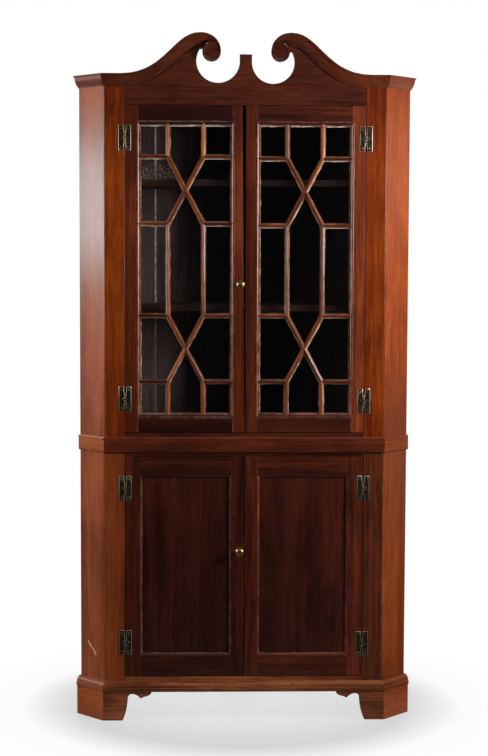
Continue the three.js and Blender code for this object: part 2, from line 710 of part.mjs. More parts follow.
// A box that spans the sight opening grown by a margin
function sightBlock(side, door, margin, front, back) {
  const xs = [side * (door.sightNear - margin), side * (door.sightFar + margin)];
  return block([Math.min(...xs), front, door.sightBase - margin],
    [Math.max(...xs), back, door.sightTop + margin]);
}

// Cutter for the sight opening: its edges follow a moulding section given as
// pairs of margin and depth
function mouldedCutter(side, door, section) {
  const width = door.sightFar - door.sightNear;
  const height = door.sightTop - door.sightBase;
  const rows = [[section[0][0], -OVERRUN], ...section, [section.at(-1)[0], DOOR_THICKNESS + OVERRUN]];
  const stations = rows.map(([margin, y]) => (u, v) => new THREE.Vector3(
    side * (door.sightNear - margin + u * (width + 2 * margin)), y,
    door.sightBase - margin + v * (height + 2 * margin)));
  return swept([[0, 0], [1, 0], [1, 1], [0, 1]], stations);
}

// Planes the meeting edge of a door off towards its top
function tapered(solid, side, door, taper) {
  const across = new THREE.Vector3(side * (door.top - door.base), 0, -taper).normalize();
  return solid.trimByPlane(across.toArray(), across.dot(new THREE.Vector3(side * door.near, 0, door.base)));
}

function doorFrame(side, door, section, pocket, spindle) {
  const xs = [side * door.near, side * door.far];
  let solid = toSolid(block([Math.min(...xs), 0, door.base], [Math.max(...xs), DOOR_THICKNESS, door.top]))
    .subtract(toSolid(mouldedCutter(side, door, section)))
    .subtract(toSolid(pocket));
  if (spindle) {
    const bore = SPINDLE_RADIUS + SEAT;
    const drill = turned([[0, -OVERRUN], [bore, -OVERRUN], [bore, DOOR_THICKNESS + OVERRUN],
      [0, DOOR_THICKNESS + OVERRUN]], side * KNOB_EDGE, spindle, SMALL_ROUND_STEPS);
    solid = solid.subtract(toSolid(drill));
  }
  return solid;
}

// One glazing bar from one crossing to another: a round ridge that rises to
// the face of the door between two fillets, over a flat back
function barRound() {
  return barRoundShares.map(([across, climb]) => [
    (across * BAR_ROUND_WIDTH) / 2, STICKING_DEPTH - climb * (STICKING_DEPTH - BAR_CROWN)]);
}

function glazingBar(from, to) {
  const back = GLASS_FACE - SEAT;
  const halfRound = barRound();
  const outline = [[-BAR_WIDTH / 2, back], [-BAR_WIDTH / 2, STICKING_DEPTH],
    ...halfRound.map(([across, y]) => [-across, y]),
    ...halfRound.slice(0, -1).reverse(),
    [BAR_WIDTH / 2, STICKING_DEPTH], [BAR_WIDTH / 2, back]];
  const way = new THREE.Vector2(to[0] - from[0], to[1] - from[1]).normalize();
  const place = ([x, z]) => (across, y) => new THREE.Vector3(x + across * way.y, y, z - across * way.x);
  return swept(outline, [place(from), place(to)]);
}

// Thirteen panes: three along the top and the foot, four beside the crossings,
// two long side panes and one long middle pane. The upper crossing sits a
// little lower in the right door, as the hand-made pair has it.
function latticeBars(side, door) {
  const width = door.sightFar - door.sightNear;
  const end = barEndShare * STICKING_WIDTH;
  const near = side * (door.sightNear - end);
  const far = side * (door.sightFar + end);
  const columns = [side * (door.sightNear + sidePaneShare * width), side * (door.sightFar - sidePaneShare * width)];
  const high = door.sightTop - HIGH_CORNER_PANE - (side > 0 ? RIGHT_LATTICE_DROP : 0);
  const low = door.sightBase + LOW_CORNER_PANE;
  const highCross = high - CROSS_HEIGHT;
  const lowCross = low + CROSS_HEIGHT;
  const bars = [];
  columns.forEach((x) => {
    bars.push([[x, door.sightTop + end], [x, high]]);
    bars.push([[x, highCross], [x, lowCross]]);
    bars.push([[x, low], [x, door.sightBase - end]]);
  });
  [high, highCross, lowCross, low].forEach((z) => {
    bars.push([[near, z], [columns[0], z]]);
    bars.push([[far, z], [columns[1], z]]);
  });
  [[high, highCross], [lowCross, low]].forEach(([top, foot]) => {
    bars.push([[columns[0], top], [columns[1], foot]]);
    bars.push([[columns[1], top], [columns[0], foot]]);
  });
  return bars;
}

// A small round pad fills the outside of each corner where bars meet, and the
// ends of the bars are coped onto the moulding of the frame
function latticeSolid(side, door, sticking) {
  const back = GLASS_FACE - SEAT;
  const bars = latticeBars(side, door);
  const solids = bars.map(([from, to]) => toSolid(glazingBar(from, to)));
  const meeting = bars.filter(([from, to]) => from[0] !== to[0] && from[1] !== to[1]).flat();
  meeting.forEach(([x, z]) => {
    const profile = [[0, back], [BAR_WIDTH / 2, back], [BAR_WIDTH / 2, STICKING_DEPTH], ...barRound()];
    solids.push(toSolid(turned(profile, x, z, SMALL_ROUND_STEPS)));
  });
  const cope = mouldedCutter(side, door, sticking.map(([margin, depth]) => [margin - SEAT, depth - SEAT]));
  return toGeometry(solids.reduce((whole, next) => whole.add(next)).intersect(toSolid(cope)));
}

// Hinge leaves. The leaf on the case holds the pin and the outer knuckles, and
// the leaf on the door turns on it with the middle knuckle.
function leafPlate(side, outward, z) {
  const xs = [PIN_X + outward * LEAF_OFFSET, PIN_X + outward * (LEAF_OFFSET + LEAF_WIDTH)];
  const ordered = xs.map((x) => side * x).sort((a, b) => a - b);
  return block([ordered[0], -SEAT - LEAF_THICKNESS, z - LEAF_HEIGHT / 2],
    [ordered[1], -SEAT, z + LEAF_HEIGHT / 2]);
}

function leafNeck(side, outward, bottom, top) {
  const ordered = [PIN_X, PIN_X + outward * (LEAF_OFFSET + LEAF_THICKNESS)]
    .map((x) => side * x).sort((a, b) => a - b);
  return block([ordered[0], -SEAT - LEAF_THICKNESS, bottom], [ordered[1], -SEAT, top]);
}

function caseLeaf(side, z) {
  const parts = [leafPlate(side, 1, z)];
  const inner = DOOR_KNUCKLE_HEIGHT / 2 + SEAT;
  const outer = KNUCKLE_HEIGHT / 2;
  [[z - outer, z - inner], [z + inner, z + outer]].forEach(([bottom, top]) => {
    parts.push(rod(KNUCKLE_RADIUS, side * PIN_X, PIN_Y, bottom, top));
    parts.push(leafNeck(side, 1, bottom, top));
  });
  parts.push(rod(PIN_RADIUS, side * PIN_X, PIN_Y, z - outer, z + outer));
  return toGeometry(joined(parts));
}

function doorLeaf(side, z) {
  const half = DOOR_KNUCKLE_HEIGHT / 2;
  const leaf = joined([
    leafPlate(side, -1, z),
    rod(KNUCKLE_RADIUS, side * PIN_X, PIN_Y, z - half, z + half),
    leafNeck(side, -1, z - half, z + half),
  ]);
  const bore = rod(PIN_RADIUS + SEAT, side * PIN_X, PIN_Y, z - half - OVERRUN, z + half + OVERRUN);
  return toGeometry(leaf.subtract(toSolid(bore)));
}

// Knob, spindle and tongue turn together. The tongue hangs straight down when
// the door is free, and a quarter turn brings it behind the other door.
function knobGeometry(z) {
  const x = -KNOB_EDGE;
  const face = -SEAT;
  const behind = DOOR_THICKNESS + SEAT;
  const head = knobShares.map(([r, reach]) => [r * KNOB_RADIUS, -reach * KNOB_REACH]);
  const profile = [[0, behind + TONGUE_THICKNESS], [SPINDLE_RADIUS, behind + TONGUE_THICKNESS],
    [SPINDLE_RADIUS, face], [COLLAR_RADIUS, face], [COLLAR_RADIUS, face - COLLAR_THICKNESS], ...head,
    [0, -KNOB_REACH]];
  const tongue = block([x - TONGUE_WIDTH / 2, behind, z - TONGUE_LENGTH],
    [x + TONGUE_WIDTH / 2, behind + TONGUE_THICKNESS, z]);
  const heel = turned([[0, behind], [TONGUE_WIDTH / 2, behind], [TONGUE_WIDTH / 2, behind + TONGUE_THICKNESS],
    [0, behind + TONGUE_THICKNESS]], x, z, SMALL_ROUND_STEPS);
  return toGeometry(joined([turned(profile, x, z, ROUND_STEPS), tongue, heel]));
}

function addHinges(word, side, group, prefix, heights) {
  Object.entries(heights).forEach(([place, z]) => {
    addPiece(cupboard, `${prefix}_hinge_${place}_${word}_case_leaf`, caseLeaf(side, z), iron);
    addPiece(group, `${prefix}_hinge_${place}_${word}_door_leaf`, doorLeaf(side, z), iron);
  });
}

function addKnob(group, prefix, z) {
  addPiece(group, `${prefix}_knob`, knobGeometry(z), brass);
}

function addUpperDoor(word, side) {
  const group = new THREE.Group();
  const sticking = stickingShares.map(([margin, depth]) => [
    margin * STICKING_WIDTH, depth * STICKING_DEPTH]);
  const pocket = sightBlock(side, upperDoor, REBATE, GLASS_FACE, DOOR_THICKNESS + OVERRUN);
  const knobZ = UPPER_DOOR_BASE + UPPER_KNOB_CLIMB;
  const square = doorFrame(side, upperDoor, sticking, pocket, side < 0 && knobZ);
  const frame = toGeometry(side < 0 ? tapered(square, side, upperDoor, LEFT_DOOR_TAPER) : square);
  const glassFront = GLASS_FACE + SEAT;
  const pane = sightBlock(side, upperDoor, REBATE - SEAT, glassFront, glassFront + GLASS_THICKNESS);
  const lowHinge = UPPER_DOOR_BASE + UPPER_LOW_HINGE_CLIMB - (side > 0 ? RIGHT_HINGE_DROP : 0);
  addPiece(group, `upper_door_${word}_frame`, frame, darkWalnut);
  addPiece(group, `upper_door_${word}_lattice`, latticeSolid(side, upperDoor, sticking), walnut);
  addPiece(group, `upper_door_${word}_glass`, pane, glass);
  addHinges(word, side, group, "upper", { high: UPPER_DOOR_TOP - UPPER_HIGH_HINGE_DROP, low: lowHinge });
  if (side < 0) addKnob(group, "upper", knobZ);
  cupboard.add(group);
}

function addLowerDoor(word, side) {
  const group = new THREE.Group();
  const moulding = panelMouldingShares.map(([margin, depth]) => [
    margin * PANEL_MOULDING_WIDTH, depth * PANEL_MOULDING_DEPTH]);
  const panelBack = PANEL_FACE + PANEL_THICKNESS;
  const pocket = sightBlock(side, lowerDoor, PANEL_TONGUE, PANEL_FACE - SEAT, panelBack + SEAT);
  const knobZ = LOWER_DOOR_BASE + LOWER_KNOB_CLIMB;
  const frame = toGeometry(doorFrame(side, lowerDoor, moulding, pocket, side < 0 && knobZ));
  const panel = sightBlock(side, lowerDoor, PANEL_TONGUE - SEAT, PANEL_FACE, panelBack);
  const lowHinge = LOWER_DOOR_BASE + LOWER_LOW_HINGE_CLIMB - (side > 0 ? RIGHT_HINGE_DROP : 0);
  addPiece(group, `lower_door_${word}_frame`, frame, darkWalnut);
  addPiece(group, `lower_door_${word}_panel`, panel, darkWalnut);
  addHinges(word, side, group, "lower", { high: LOWER_DOOR_TOP - LOWER_HIGH_HINGE_DROP, low: lowHinge });
  if (side < 0) addKnob(group, "lower", knobZ);
  cupboard.add(group);
}

addLowerCase();
addBaseMoulding();
addWaistBand();
addRearFoot();
addUpperCase();
addPedimentBoard();
[["left", -1], ["right", 1]].forEach(([word, side]) => {
  addFoot(word, side);
  addCorniceReturn(word, side);
  addSwanNeck(word, side);
  addUpperDoor(word, side);
  addLowerDoor(word, side);
});

// The origin is the middle of the footprint, on the floor
const extent = new THREE.Box3().setFromObject(cupboard, true);
const middle = extent.getCenter(new THREE.Vector3());
cupboard.position.set(-middle.x, -middle.y, -extent.min.z);
cupboard.updateMatrixWorld(true);

export default cupboard;
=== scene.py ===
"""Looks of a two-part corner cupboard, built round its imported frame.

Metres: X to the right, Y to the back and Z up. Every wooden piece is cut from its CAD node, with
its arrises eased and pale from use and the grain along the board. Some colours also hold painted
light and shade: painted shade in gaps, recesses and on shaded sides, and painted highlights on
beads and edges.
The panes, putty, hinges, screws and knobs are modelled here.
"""

import json
import math
import random
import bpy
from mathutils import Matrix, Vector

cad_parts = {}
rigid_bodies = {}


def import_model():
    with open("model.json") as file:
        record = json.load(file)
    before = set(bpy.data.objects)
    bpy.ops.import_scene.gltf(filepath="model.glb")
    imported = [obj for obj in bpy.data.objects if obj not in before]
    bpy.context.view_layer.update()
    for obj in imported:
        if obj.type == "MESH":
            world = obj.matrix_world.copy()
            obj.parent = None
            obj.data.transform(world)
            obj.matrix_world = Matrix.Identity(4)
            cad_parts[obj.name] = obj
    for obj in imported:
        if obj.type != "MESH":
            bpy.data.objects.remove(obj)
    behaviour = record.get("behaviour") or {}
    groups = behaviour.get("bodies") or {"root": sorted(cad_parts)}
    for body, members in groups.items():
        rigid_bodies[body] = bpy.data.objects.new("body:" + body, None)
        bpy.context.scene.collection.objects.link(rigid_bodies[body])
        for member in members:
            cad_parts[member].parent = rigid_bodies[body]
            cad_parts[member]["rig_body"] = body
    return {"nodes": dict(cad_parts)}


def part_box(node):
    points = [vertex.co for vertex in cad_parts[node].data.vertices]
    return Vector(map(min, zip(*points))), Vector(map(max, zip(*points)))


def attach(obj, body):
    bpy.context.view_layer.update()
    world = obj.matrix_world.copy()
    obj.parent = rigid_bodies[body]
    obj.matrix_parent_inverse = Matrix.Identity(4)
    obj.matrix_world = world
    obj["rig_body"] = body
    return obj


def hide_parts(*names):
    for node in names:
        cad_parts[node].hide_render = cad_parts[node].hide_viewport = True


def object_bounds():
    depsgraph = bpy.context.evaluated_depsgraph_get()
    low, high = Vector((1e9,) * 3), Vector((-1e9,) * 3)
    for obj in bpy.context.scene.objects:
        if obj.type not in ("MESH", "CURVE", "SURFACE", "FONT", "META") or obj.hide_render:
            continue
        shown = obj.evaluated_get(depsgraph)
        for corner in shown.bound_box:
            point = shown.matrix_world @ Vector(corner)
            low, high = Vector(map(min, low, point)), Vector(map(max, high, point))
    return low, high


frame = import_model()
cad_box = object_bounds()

import zlib

import bmesh
import bpy
from mathutils import Matrix, Vector, noise

MM = 0.001
UP = Vector((0, 0, 1))
RIGHT = Vector((1, 0, 0))
SIDES = (("left", -1), ("right", 1))
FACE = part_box("upper_stile_left")[0].y
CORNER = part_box("lower_stile_right")[1].x
DOOR_PAIRS = [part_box(f"{level}_door_left_frame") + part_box(f"{level}_door_right_frame")
              for level in ("upper", "lower")]

# Working of the wood
MERGE = 0.01 * MM
FLAT = math.radians(0.6)
CREASE = math.radians(52)
ARRIS = math.radians(32)
JOINT_GAP = 0.12 * MM
TOOL_REACH = 0.2
BOARD_EASE = 0.9 * MM
CORNER_EASE = 2.2 * MM
SHELF_EASE = 1.5 * MM
WALL_EASE = 0.5 * MM
FOOT_EASE = 1.0 * MM
DOOR_EASE = 0.8 * MM
BAR_EASE = 0.35 * MM

# Painted light and shade, and marks of use, as marks on the corners of faces: painted shade in the
# door gaps, on the fillets and crowns of sashes and bars and on the panels' mouldings, and painted
# highlights along sight edges and on beads
DOOR_THICKNESS = 22 * MM
GAP_REACH = 4.5 * MM
DOOR_EDGE = 1.2 * MM
SIGHT_EDGE = 2 * MM
FILLET_REACH = 0.35 * MM
BEAD_DEPTHS = (0.3 * MM, 6.5 * MM)
FOOT_DEPTH = 4.9 * MM
FRONTAL = -0.9
TILTED = 0.3
HIGHLIGHT_MARK = 1.6
GAP_SHADE = 1.3
FOOT_SHADE = 1.2
CROWN_SHADE = 0.8

# Glazing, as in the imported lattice
SIDE_SHARE = 0.3015
HIGH_PANE = 106.5 * MM
LOW_PANE = 111 * MM
CROSS = 231 * MM
RIGHT_DROP = 5.5 * MM
REBATE = 7.7 * MM
BAR_HALF = 7 * MM
TONGUE_HALF = 2.2 * MM
GROOVE = 7 * MM
QUIRK = 1.26 * MM
BAR_SPACE = 14 * MM

# Tones of the bars: painted shade on the level bars, which the side lamps light less than the
# crossed and upright ones
LEVEL_BAR_SHADE = -0.2
CROSSED_BAR = -0.05
UPRIGHT_BAR = -0.02
BAR_SPREAD = 0.05


# Shader graphs


def srgb(colour, share=1.0):
    """A share of a screen colour, 0 to 255, as a linear colour."""

    def linear(value):
        value *= share / 255
        return value / 12.92 if value <= 0.04045 else ((value + 0.055) / 1.055) ** 2.4

    return (*map(linear, colour), 1)


class Graph:
    """The shader nodes of a material or of the world, which end in one output."""

    def __init__(self, owner, output="OutputMaterial"):
        owner.use_nodes = True
        self.tree = owner.node_tree
        self.tree.nodes.clear()
        self.output = self.node(output)

    def node(self, kind, inputs=None, **settings):
        made = self.tree.nodes.new("ShaderNode" + kind)
        for key, value in settings.items():
            setattr(made, key, value)
        self.fill(made, inputs or {})
        return made

    def fill(self, made, inputs):
        """Sets inputs of a node, each to a value or linked from a socket."""
        for key, value in inputs.items():
            if isinstance(value, bpy.types.NodeSocket):
                self.tree.links.new(value, made.inputs[key])
            else:
                made.inputs[key].default_value = value

    def get(self, output, kind, inputs=None, **settings):
        """An output of a new node."""
        return self.node(kind, inputs, **settings).outputs[output]

    def math(self, operation, *values):
        return self.get(0, "Math", dict(enumerate(values)), operation=operation)

    def times(self, first, second):
        return self.math("MULTIPLY", first, second)

    def vector(self, output, operation, *values):
        return self.get(output, "VectorMath", dict(enumerate(values)), operation=operation)

    def apart(self, vector):
        return self.node("SeparateXYZ", {0: vector}).outputs

    def coordinates(self, kind="Object"):
        return self.get(kind, "TexCoord")

    def attribute(self, name, kind="Fac"):
        return self.get(kind, "Attribute", attribute_name=name)

    def mixed(self, factor, first, second, blend="MIX"):
        return self.get(2, "Mix", {0: factor, 6: first, 7: second}, data_type="RGBA",
                        blend_type=blend)

    def ramp(self, factor, *stops):
        """A colour ramp through stops of position and colour, or position and grey."""
        made = self.node("ValToRGB", {0: factor})
        elements = made.color_ramp.elements
        while len(elements) < len(stops):
            elements.new(1)
        for element, (position, colour) in zip(elements, stops):
            element.position = position
            element.color = colour if hasattr(colour, "__len__") else (colour,) * 3 + (1,)
        return made.outputs[0]

    def scaled(self, vector, scale):
        return self.get(0, "Mapping", {0: vector, 3: scale})

    def local(self, vector, centre, turn=(0, 0, 0), reach=(1, 1, 1)):
        """A place seen from a centre, in turned axes and in units of a reach."""
        return self.get(0, "Mapping", {0: vector, 1: centre, 2: turn, 3: reach},
                        vector_type="TEXTURE")

    def cloud(self, vector, scale, detail, roughness):
        """A noise whose features have the size 1 / scale along each axis."""
        return self.get(0, "TexNoise", {"Vector": self.scaled(vector, scale), "Scale": 1.0,
                                        "Detail": detail, "Roughness": roughness})

    def layered(self, *layers):
        """Noises about a half, each with its share, added to one tone about a half."""
        tone = 0.5 - sum(share for field, share in layers) / 2
        for field, share in layers:
            tone = self.math("MULTIPLY_ADD", field, share, tone)
        return tone

    def specks(self, vector, scale, chance, size):
        """Small dark marks, strewn thinly: 1 on a mark and 0 elsewhere."""
        cells = self.node("TexVoronoi", {
            "Vector": self.scaled(vector, scale), "Scale": 1.0, "Randomness": 1.0}).outputs
        picked = self.get(0, "SeparateColor", {0: cells["Color"]})
        spot = self.ramp(cells["Distance"], (size / 2, 1.0), (size, 0.0))
        return self.times(self.math("LESS_THAN", picked, chance), spot)

    def bump(self, height, strength, distance, **under):
        return self.get(0, "Bump", {"Strength": strength, "Distance": distance, "Height": height,
                                    **under})

    def shaded(self, factor, first, second):
        """Ends in a mix of two shaders."""
        both = self.get(0, "MixShader", {0: factor, 1: first.outputs[0], 2: second.outputs[0]})
        self.fill(self.output, {"Surface": both})


def blank(name):
    """A material with only its Principled shader and its output."""
    material = bpy.data.materials.new(name)
    graph = Graph(material)
    shader = graph.node("BsdfPrincipled")
    graph.fill(graph.output, {"Surface": shader.outputs[0]})
    return material, graph, shader


# Materials

# Noises: scale along the board, across it and into it, detail and roughness
SWAY = (1.6, 5, 5), 2, 0.5
BROAD = (0.5, 13, 13), 3, 0.55
LINES = (2.2, 95, 95), 4, 0.6
PATCHES = (3.1, 5.5, 5.5), 4, 0.6
FIBRES = (12, 330, 330), 3, 0.7
PORES = (42, 1700, 1700), 1, 0.5
TINT = (0.8, 8, 8), 2, 0.5
RUBS = (26, 60, 60), 3, 0.7
POLISH = (6, 16, 16), 4, 0.6
HOLLOWS = (2.4, 15, 15), 2, 0.5
NICKS = (13, 40, 40)
NICK_SIZE = 0.13

SWAY_REACH = 0.05
FIBRE_SHARE = 0.8
GLOSS = 0.12

# Places in the row frame
SCUFF_CENTRE = (-0.32, 0.03, 1.93)
SCUFF_REACH = (0.12, 0.12, 0.05)
SEAM_X = -0.32
SCUFF_COLOUR = (232, 218, 212)
SCRATCH = Vector((-0.556, 0.27)), Vector((-0.522, 0.222))
SCRATCH_HALF_WIDTH = 1.6 * MM
SCRATCH_BEND = 12 * MM
SCRATCH_COLOUR = (236, 190, 160)


def wood(name, dark, middle, light, tinge, streak=1.0, fine=0.8, blotch=0.75, shine=(0.3, 0.42),
         coat=0.6, coat_rough=0.18, marks=0.08, worn_and_lit=(150, 84, 46), extra=None):
    """Varnished wood. The attribute grain runs along, across and into the board, and tone makes it
    lighter or darker. Marks on the corners of faces make arrises pale from use, make painted
    highlights pale, and make painted shade dark."""
    material, graph, shader = blank(name)
    grain = graph.attribute("grain", "Vector")
    drift = graph.math("MULTIPLY_ADD", graph.cloud(grain, *SWAY), SWAY_REACH, -SWAY_REACH / 2)
    shift = graph.get(0, "CombineXYZ", {1: drift, 2: drift})
    figure = graph.vector(0, "ADD", grain, shift)
    broad, lines, fibres, pores, tint = (
        graph.cloud(figure, *noises) for noises in (BROAD, LINES, FIBRES, PORES, TINT))
    patches, rubs, polish, hollows = (
        graph.cloud(grain, *noises) for noises in (PATCHES, RUBS, POLISH, HOLLOWS))

    tone = graph.layered((broad, streak), (lines, fine), (patches, blotch), (fibres, FIBRE_SHARE))
    tone = graph.math("ADD", tone, graph.attribute("tone"))
    colour = graph.ramp(tone, (0.26, srgb(dark)), (0.5, srgb(middle)), (0.74, srgb(light)))
    colour = graph.mixed(graph.ramp(tint, (0.45, 0.0), (0.65, 0.55)), colour, srgb(tinge))
    open_pores = graph.ramp(pores, (0.3, 0.7), (0.42, 1.0))
    colour = graph.mixed(0.7, colour, open_pores, "MULTIPLY")
    if marks:
        nicks = graph.specks(grain, NICKS, marks, NICK_SIZE)
        colour = graph.mixed(nicks, colour, srgb(dark, 0.3))
    if extra:
        colour = extra(graph, colour)
    # Painted shade in the door gaps, on the fillets and crowns of sashes and bars and round the
    # panels, with old wax round the panels too, broken up by a noise
    shade_and_dirt = graph.times(graph.attribute("shade_and_grime"), graph.ramp(rubs, (0.35, 0.95), (0.7, 0.6)))
    colour = graph.mixed(shade_and_dirt, colour, srgb(dark, 0.25))
    # Pale on arrises from use, and painted highlights along sight edges, on beads and on the
    # panels' mouldings
    rub_and_highlight = graph.times(graph.attribute("wear_and_highlight"), graph.ramp(rubs, (0.4, 0.05), (0.62, 0.7)))
    colour = graph.mixed(rub_and_highlight, colour, srgb(worn_and_lit))

    polish = graph.layered((polish, 1.0), (lines, 0.5))
    waves = graph.bump(lines, 0.3, 0.12 * MM, Normal=graph.bump(hollows, 0.4, 1.0 * MM))
    normal = graph.bump(fibres, 0.3, 0.08 * MM, Normal=waves)
    graph.fill(shader, {
        "Base Color": colour, "Roughness": graph.ramp(polish, (0.3, shine[0]), (0.7, shine[1])),
        "Normal": graph.bump(open_pores, 0.35, 0.05 * MM, Normal=normal), "Coat Normal": waves,
        "Specular IOR Level": GLOSS, "Coat Weight": coat, "Coat Roughness": coat_rough})
    return material


def scuffed(graph, colour):
    """Pale specks from rubbing and an upright seam with dust in it, both inside the left wall."""
    place = graph.coordinates()
    near = graph.vector("Value", "LENGTH", graph.local(place, SCUFF_CENTRE, reach=SCUFF_REACH))
    facing = graph.vector("Value", "DOT_PRODUCT", graph.coordinates("Normal"), (0.7, -0.7, 0))
    inside = graph.math("GREATER_THAN", facing, 0.5)
    near = graph.times(graph.ramp(near, (0.55, 1.0), (1.0, 0.0)), inside)
    rubs = graph.ramp(graph.cloud(place, (150, 150, 190), 4, 0.8), (0.53, 0.0), (0.62, 0.95))
    colour = graph.mixed(graph.times(near, rubs), colour, srgb(SCUFF_COLOUR))

    apart = graph.apart(place)
    off = graph.math("ABSOLUTE", graph.math("SUBTRACT", apart["X"], SEAM_X))
    line = graph.ramp(off, (1.1 * MM, 1.0), (1.9 * MM, 0.0))
    dust = graph.ramp(graph.cloud(place, (6, 6, 26), 5, 0.75), (0.36, 0.1), (0.62, 0.95))
    high = graph.ramp(graph.times(apart["Z"], 0.5), (0.64, 0.3), (0.76, 1.0))
    dust = graph.times(graph.times(dust, high), inside)
    return graph.mixed(graph.times(line, dust), colour, srgb(SCUFF_COLOUR))


def scratched(graph, colour):
    """One long pale scratch between two places that are given by x and height."""
    start, end = SCRATCH
    way, middle = end - start, (end + start) / 2
    own = graph.local(graph.coordinates(), (middle.x, 0, middle.y),
                      (0, -math.atan2(way.y, way.x), 0))
    bend = graph.cloud(own, (60, 0, 0), 2, 0.5)
    apart = graph.apart(own)
    off = graph.math("MULTIPLY_ADD", bend, SCRATCH_BEND, apart["Z"])
    off = graph.math("ABSOLUTE", graph.math("SUBTRACT", off, SCRATCH_BEND / 2))
    line = graph.ramp(off, (0.0, 1.0), (SCRATCH_HALF_WIDTH, 0.0))
    reach = graph.ramp(graph.math("ABSOLUTE", apart["X"]), (way.length * 0.4, 0.9),
                       (way.length * 0.5, 0.0))
    return graph.mixed(graph.times(line, reach), colour, srgb(SCRATCH_COLOUR))


def metal(name, deep, plain, bright, shine, scale):
    """Aged metal, dark in mottled patches and bright where hands and cloths rub it."""
    material, graph, shader = blank(name)
    place = graph.coordinates()
    mottle = graph.cloud(place, (scale,) * 3, 4, 0.65)
    pits = graph.cloud(place, (scale * 6,) * 3, 2, 0.6)
    colour = graph.ramp(mottle, (0.36, srgb(deep)), (0.62, srgb(plain)))
    rub_and_highlight = graph.times(graph.attribute("wear_and_highlight"), graph.ramp(pits, (0.3, 0.45), (0.55, 1.0)))
    dents = graph.bump(mottle, 0.3, 0.15 * MM)
    graph.fill(shader, {
        "Base Color": graph.mixed(rub_and_highlight, colour, srgb(bright)), "Metallic": 1.0,
        "Roughness": graph.ramp(mottle, (0.3, shine[1]), (0.7, shine[0])),
        "Normal": graph.bump(pits, 0.25, 0.05 * MM, Normal=dents)})
    return material


def pane_glass(name, tint):
    """Old window glass: clear, slightly wavy, and letting lamplight through."""
    material, graph, shader = blank(name)
    place = graph.coordinates()
    ripple = graph.cloud(place, (9, 9, 14), 2, 0.4)
    film = graph.cloud(place, (14, 14, 22), 4, 0.7)
    graph.fill(shader, {
        "Normal": graph.bump(ripple, 0.25, 1.5 * MM), "Base Color": srgb(tint),
        "Roughness": graph.ramp(film, (0.35, 0.02), (0.75, 0.09)),
        "Transmission Weight": 1.0, "IOR": 1.5})
    clear = graph.node("BsdfTransparent", {"Color": srgb(tint)})
    graph.shaded(graph.get("Is Shadow Ray", "LightPath"), shader, clear)
    return material


def putty_paste(name, dark, brown, pale):
    """Old putty, brown with polish in places; marks on its faces lighten it as painted light, paler
    along the top of each pane and darker along its foot.
    """
    material, graph, shader = blank(name)
    place = graph.coordinates()
    lumps = graph.cloud(place, (70, 70, 70), 4, 0.7)
    tone = graph.layered((lumps, 0.8), (graph.cloud(place, (4, 4, 3), 3, 0.6), 0.9))
    tone = graph.math("SUBTRACT", tone, 0.25)
    tone = graph.math("MULTIPLY_ADD", graph.attribute("wear_and_highlight"), 0.5, tone)
    graph.fill(shader, {
        "Base Color": graph.ramp(tone, (0.25, srgb(dark)), (0.5, srgb(brown)), (0.72, srgb(pale))),
        "Normal": graph.bump(lumps, 0.6, 0.4 * MM),
        "Roughness": graph.ramp(lumps, (0.3, 0.62), (0.7, 0.9))})
    return material


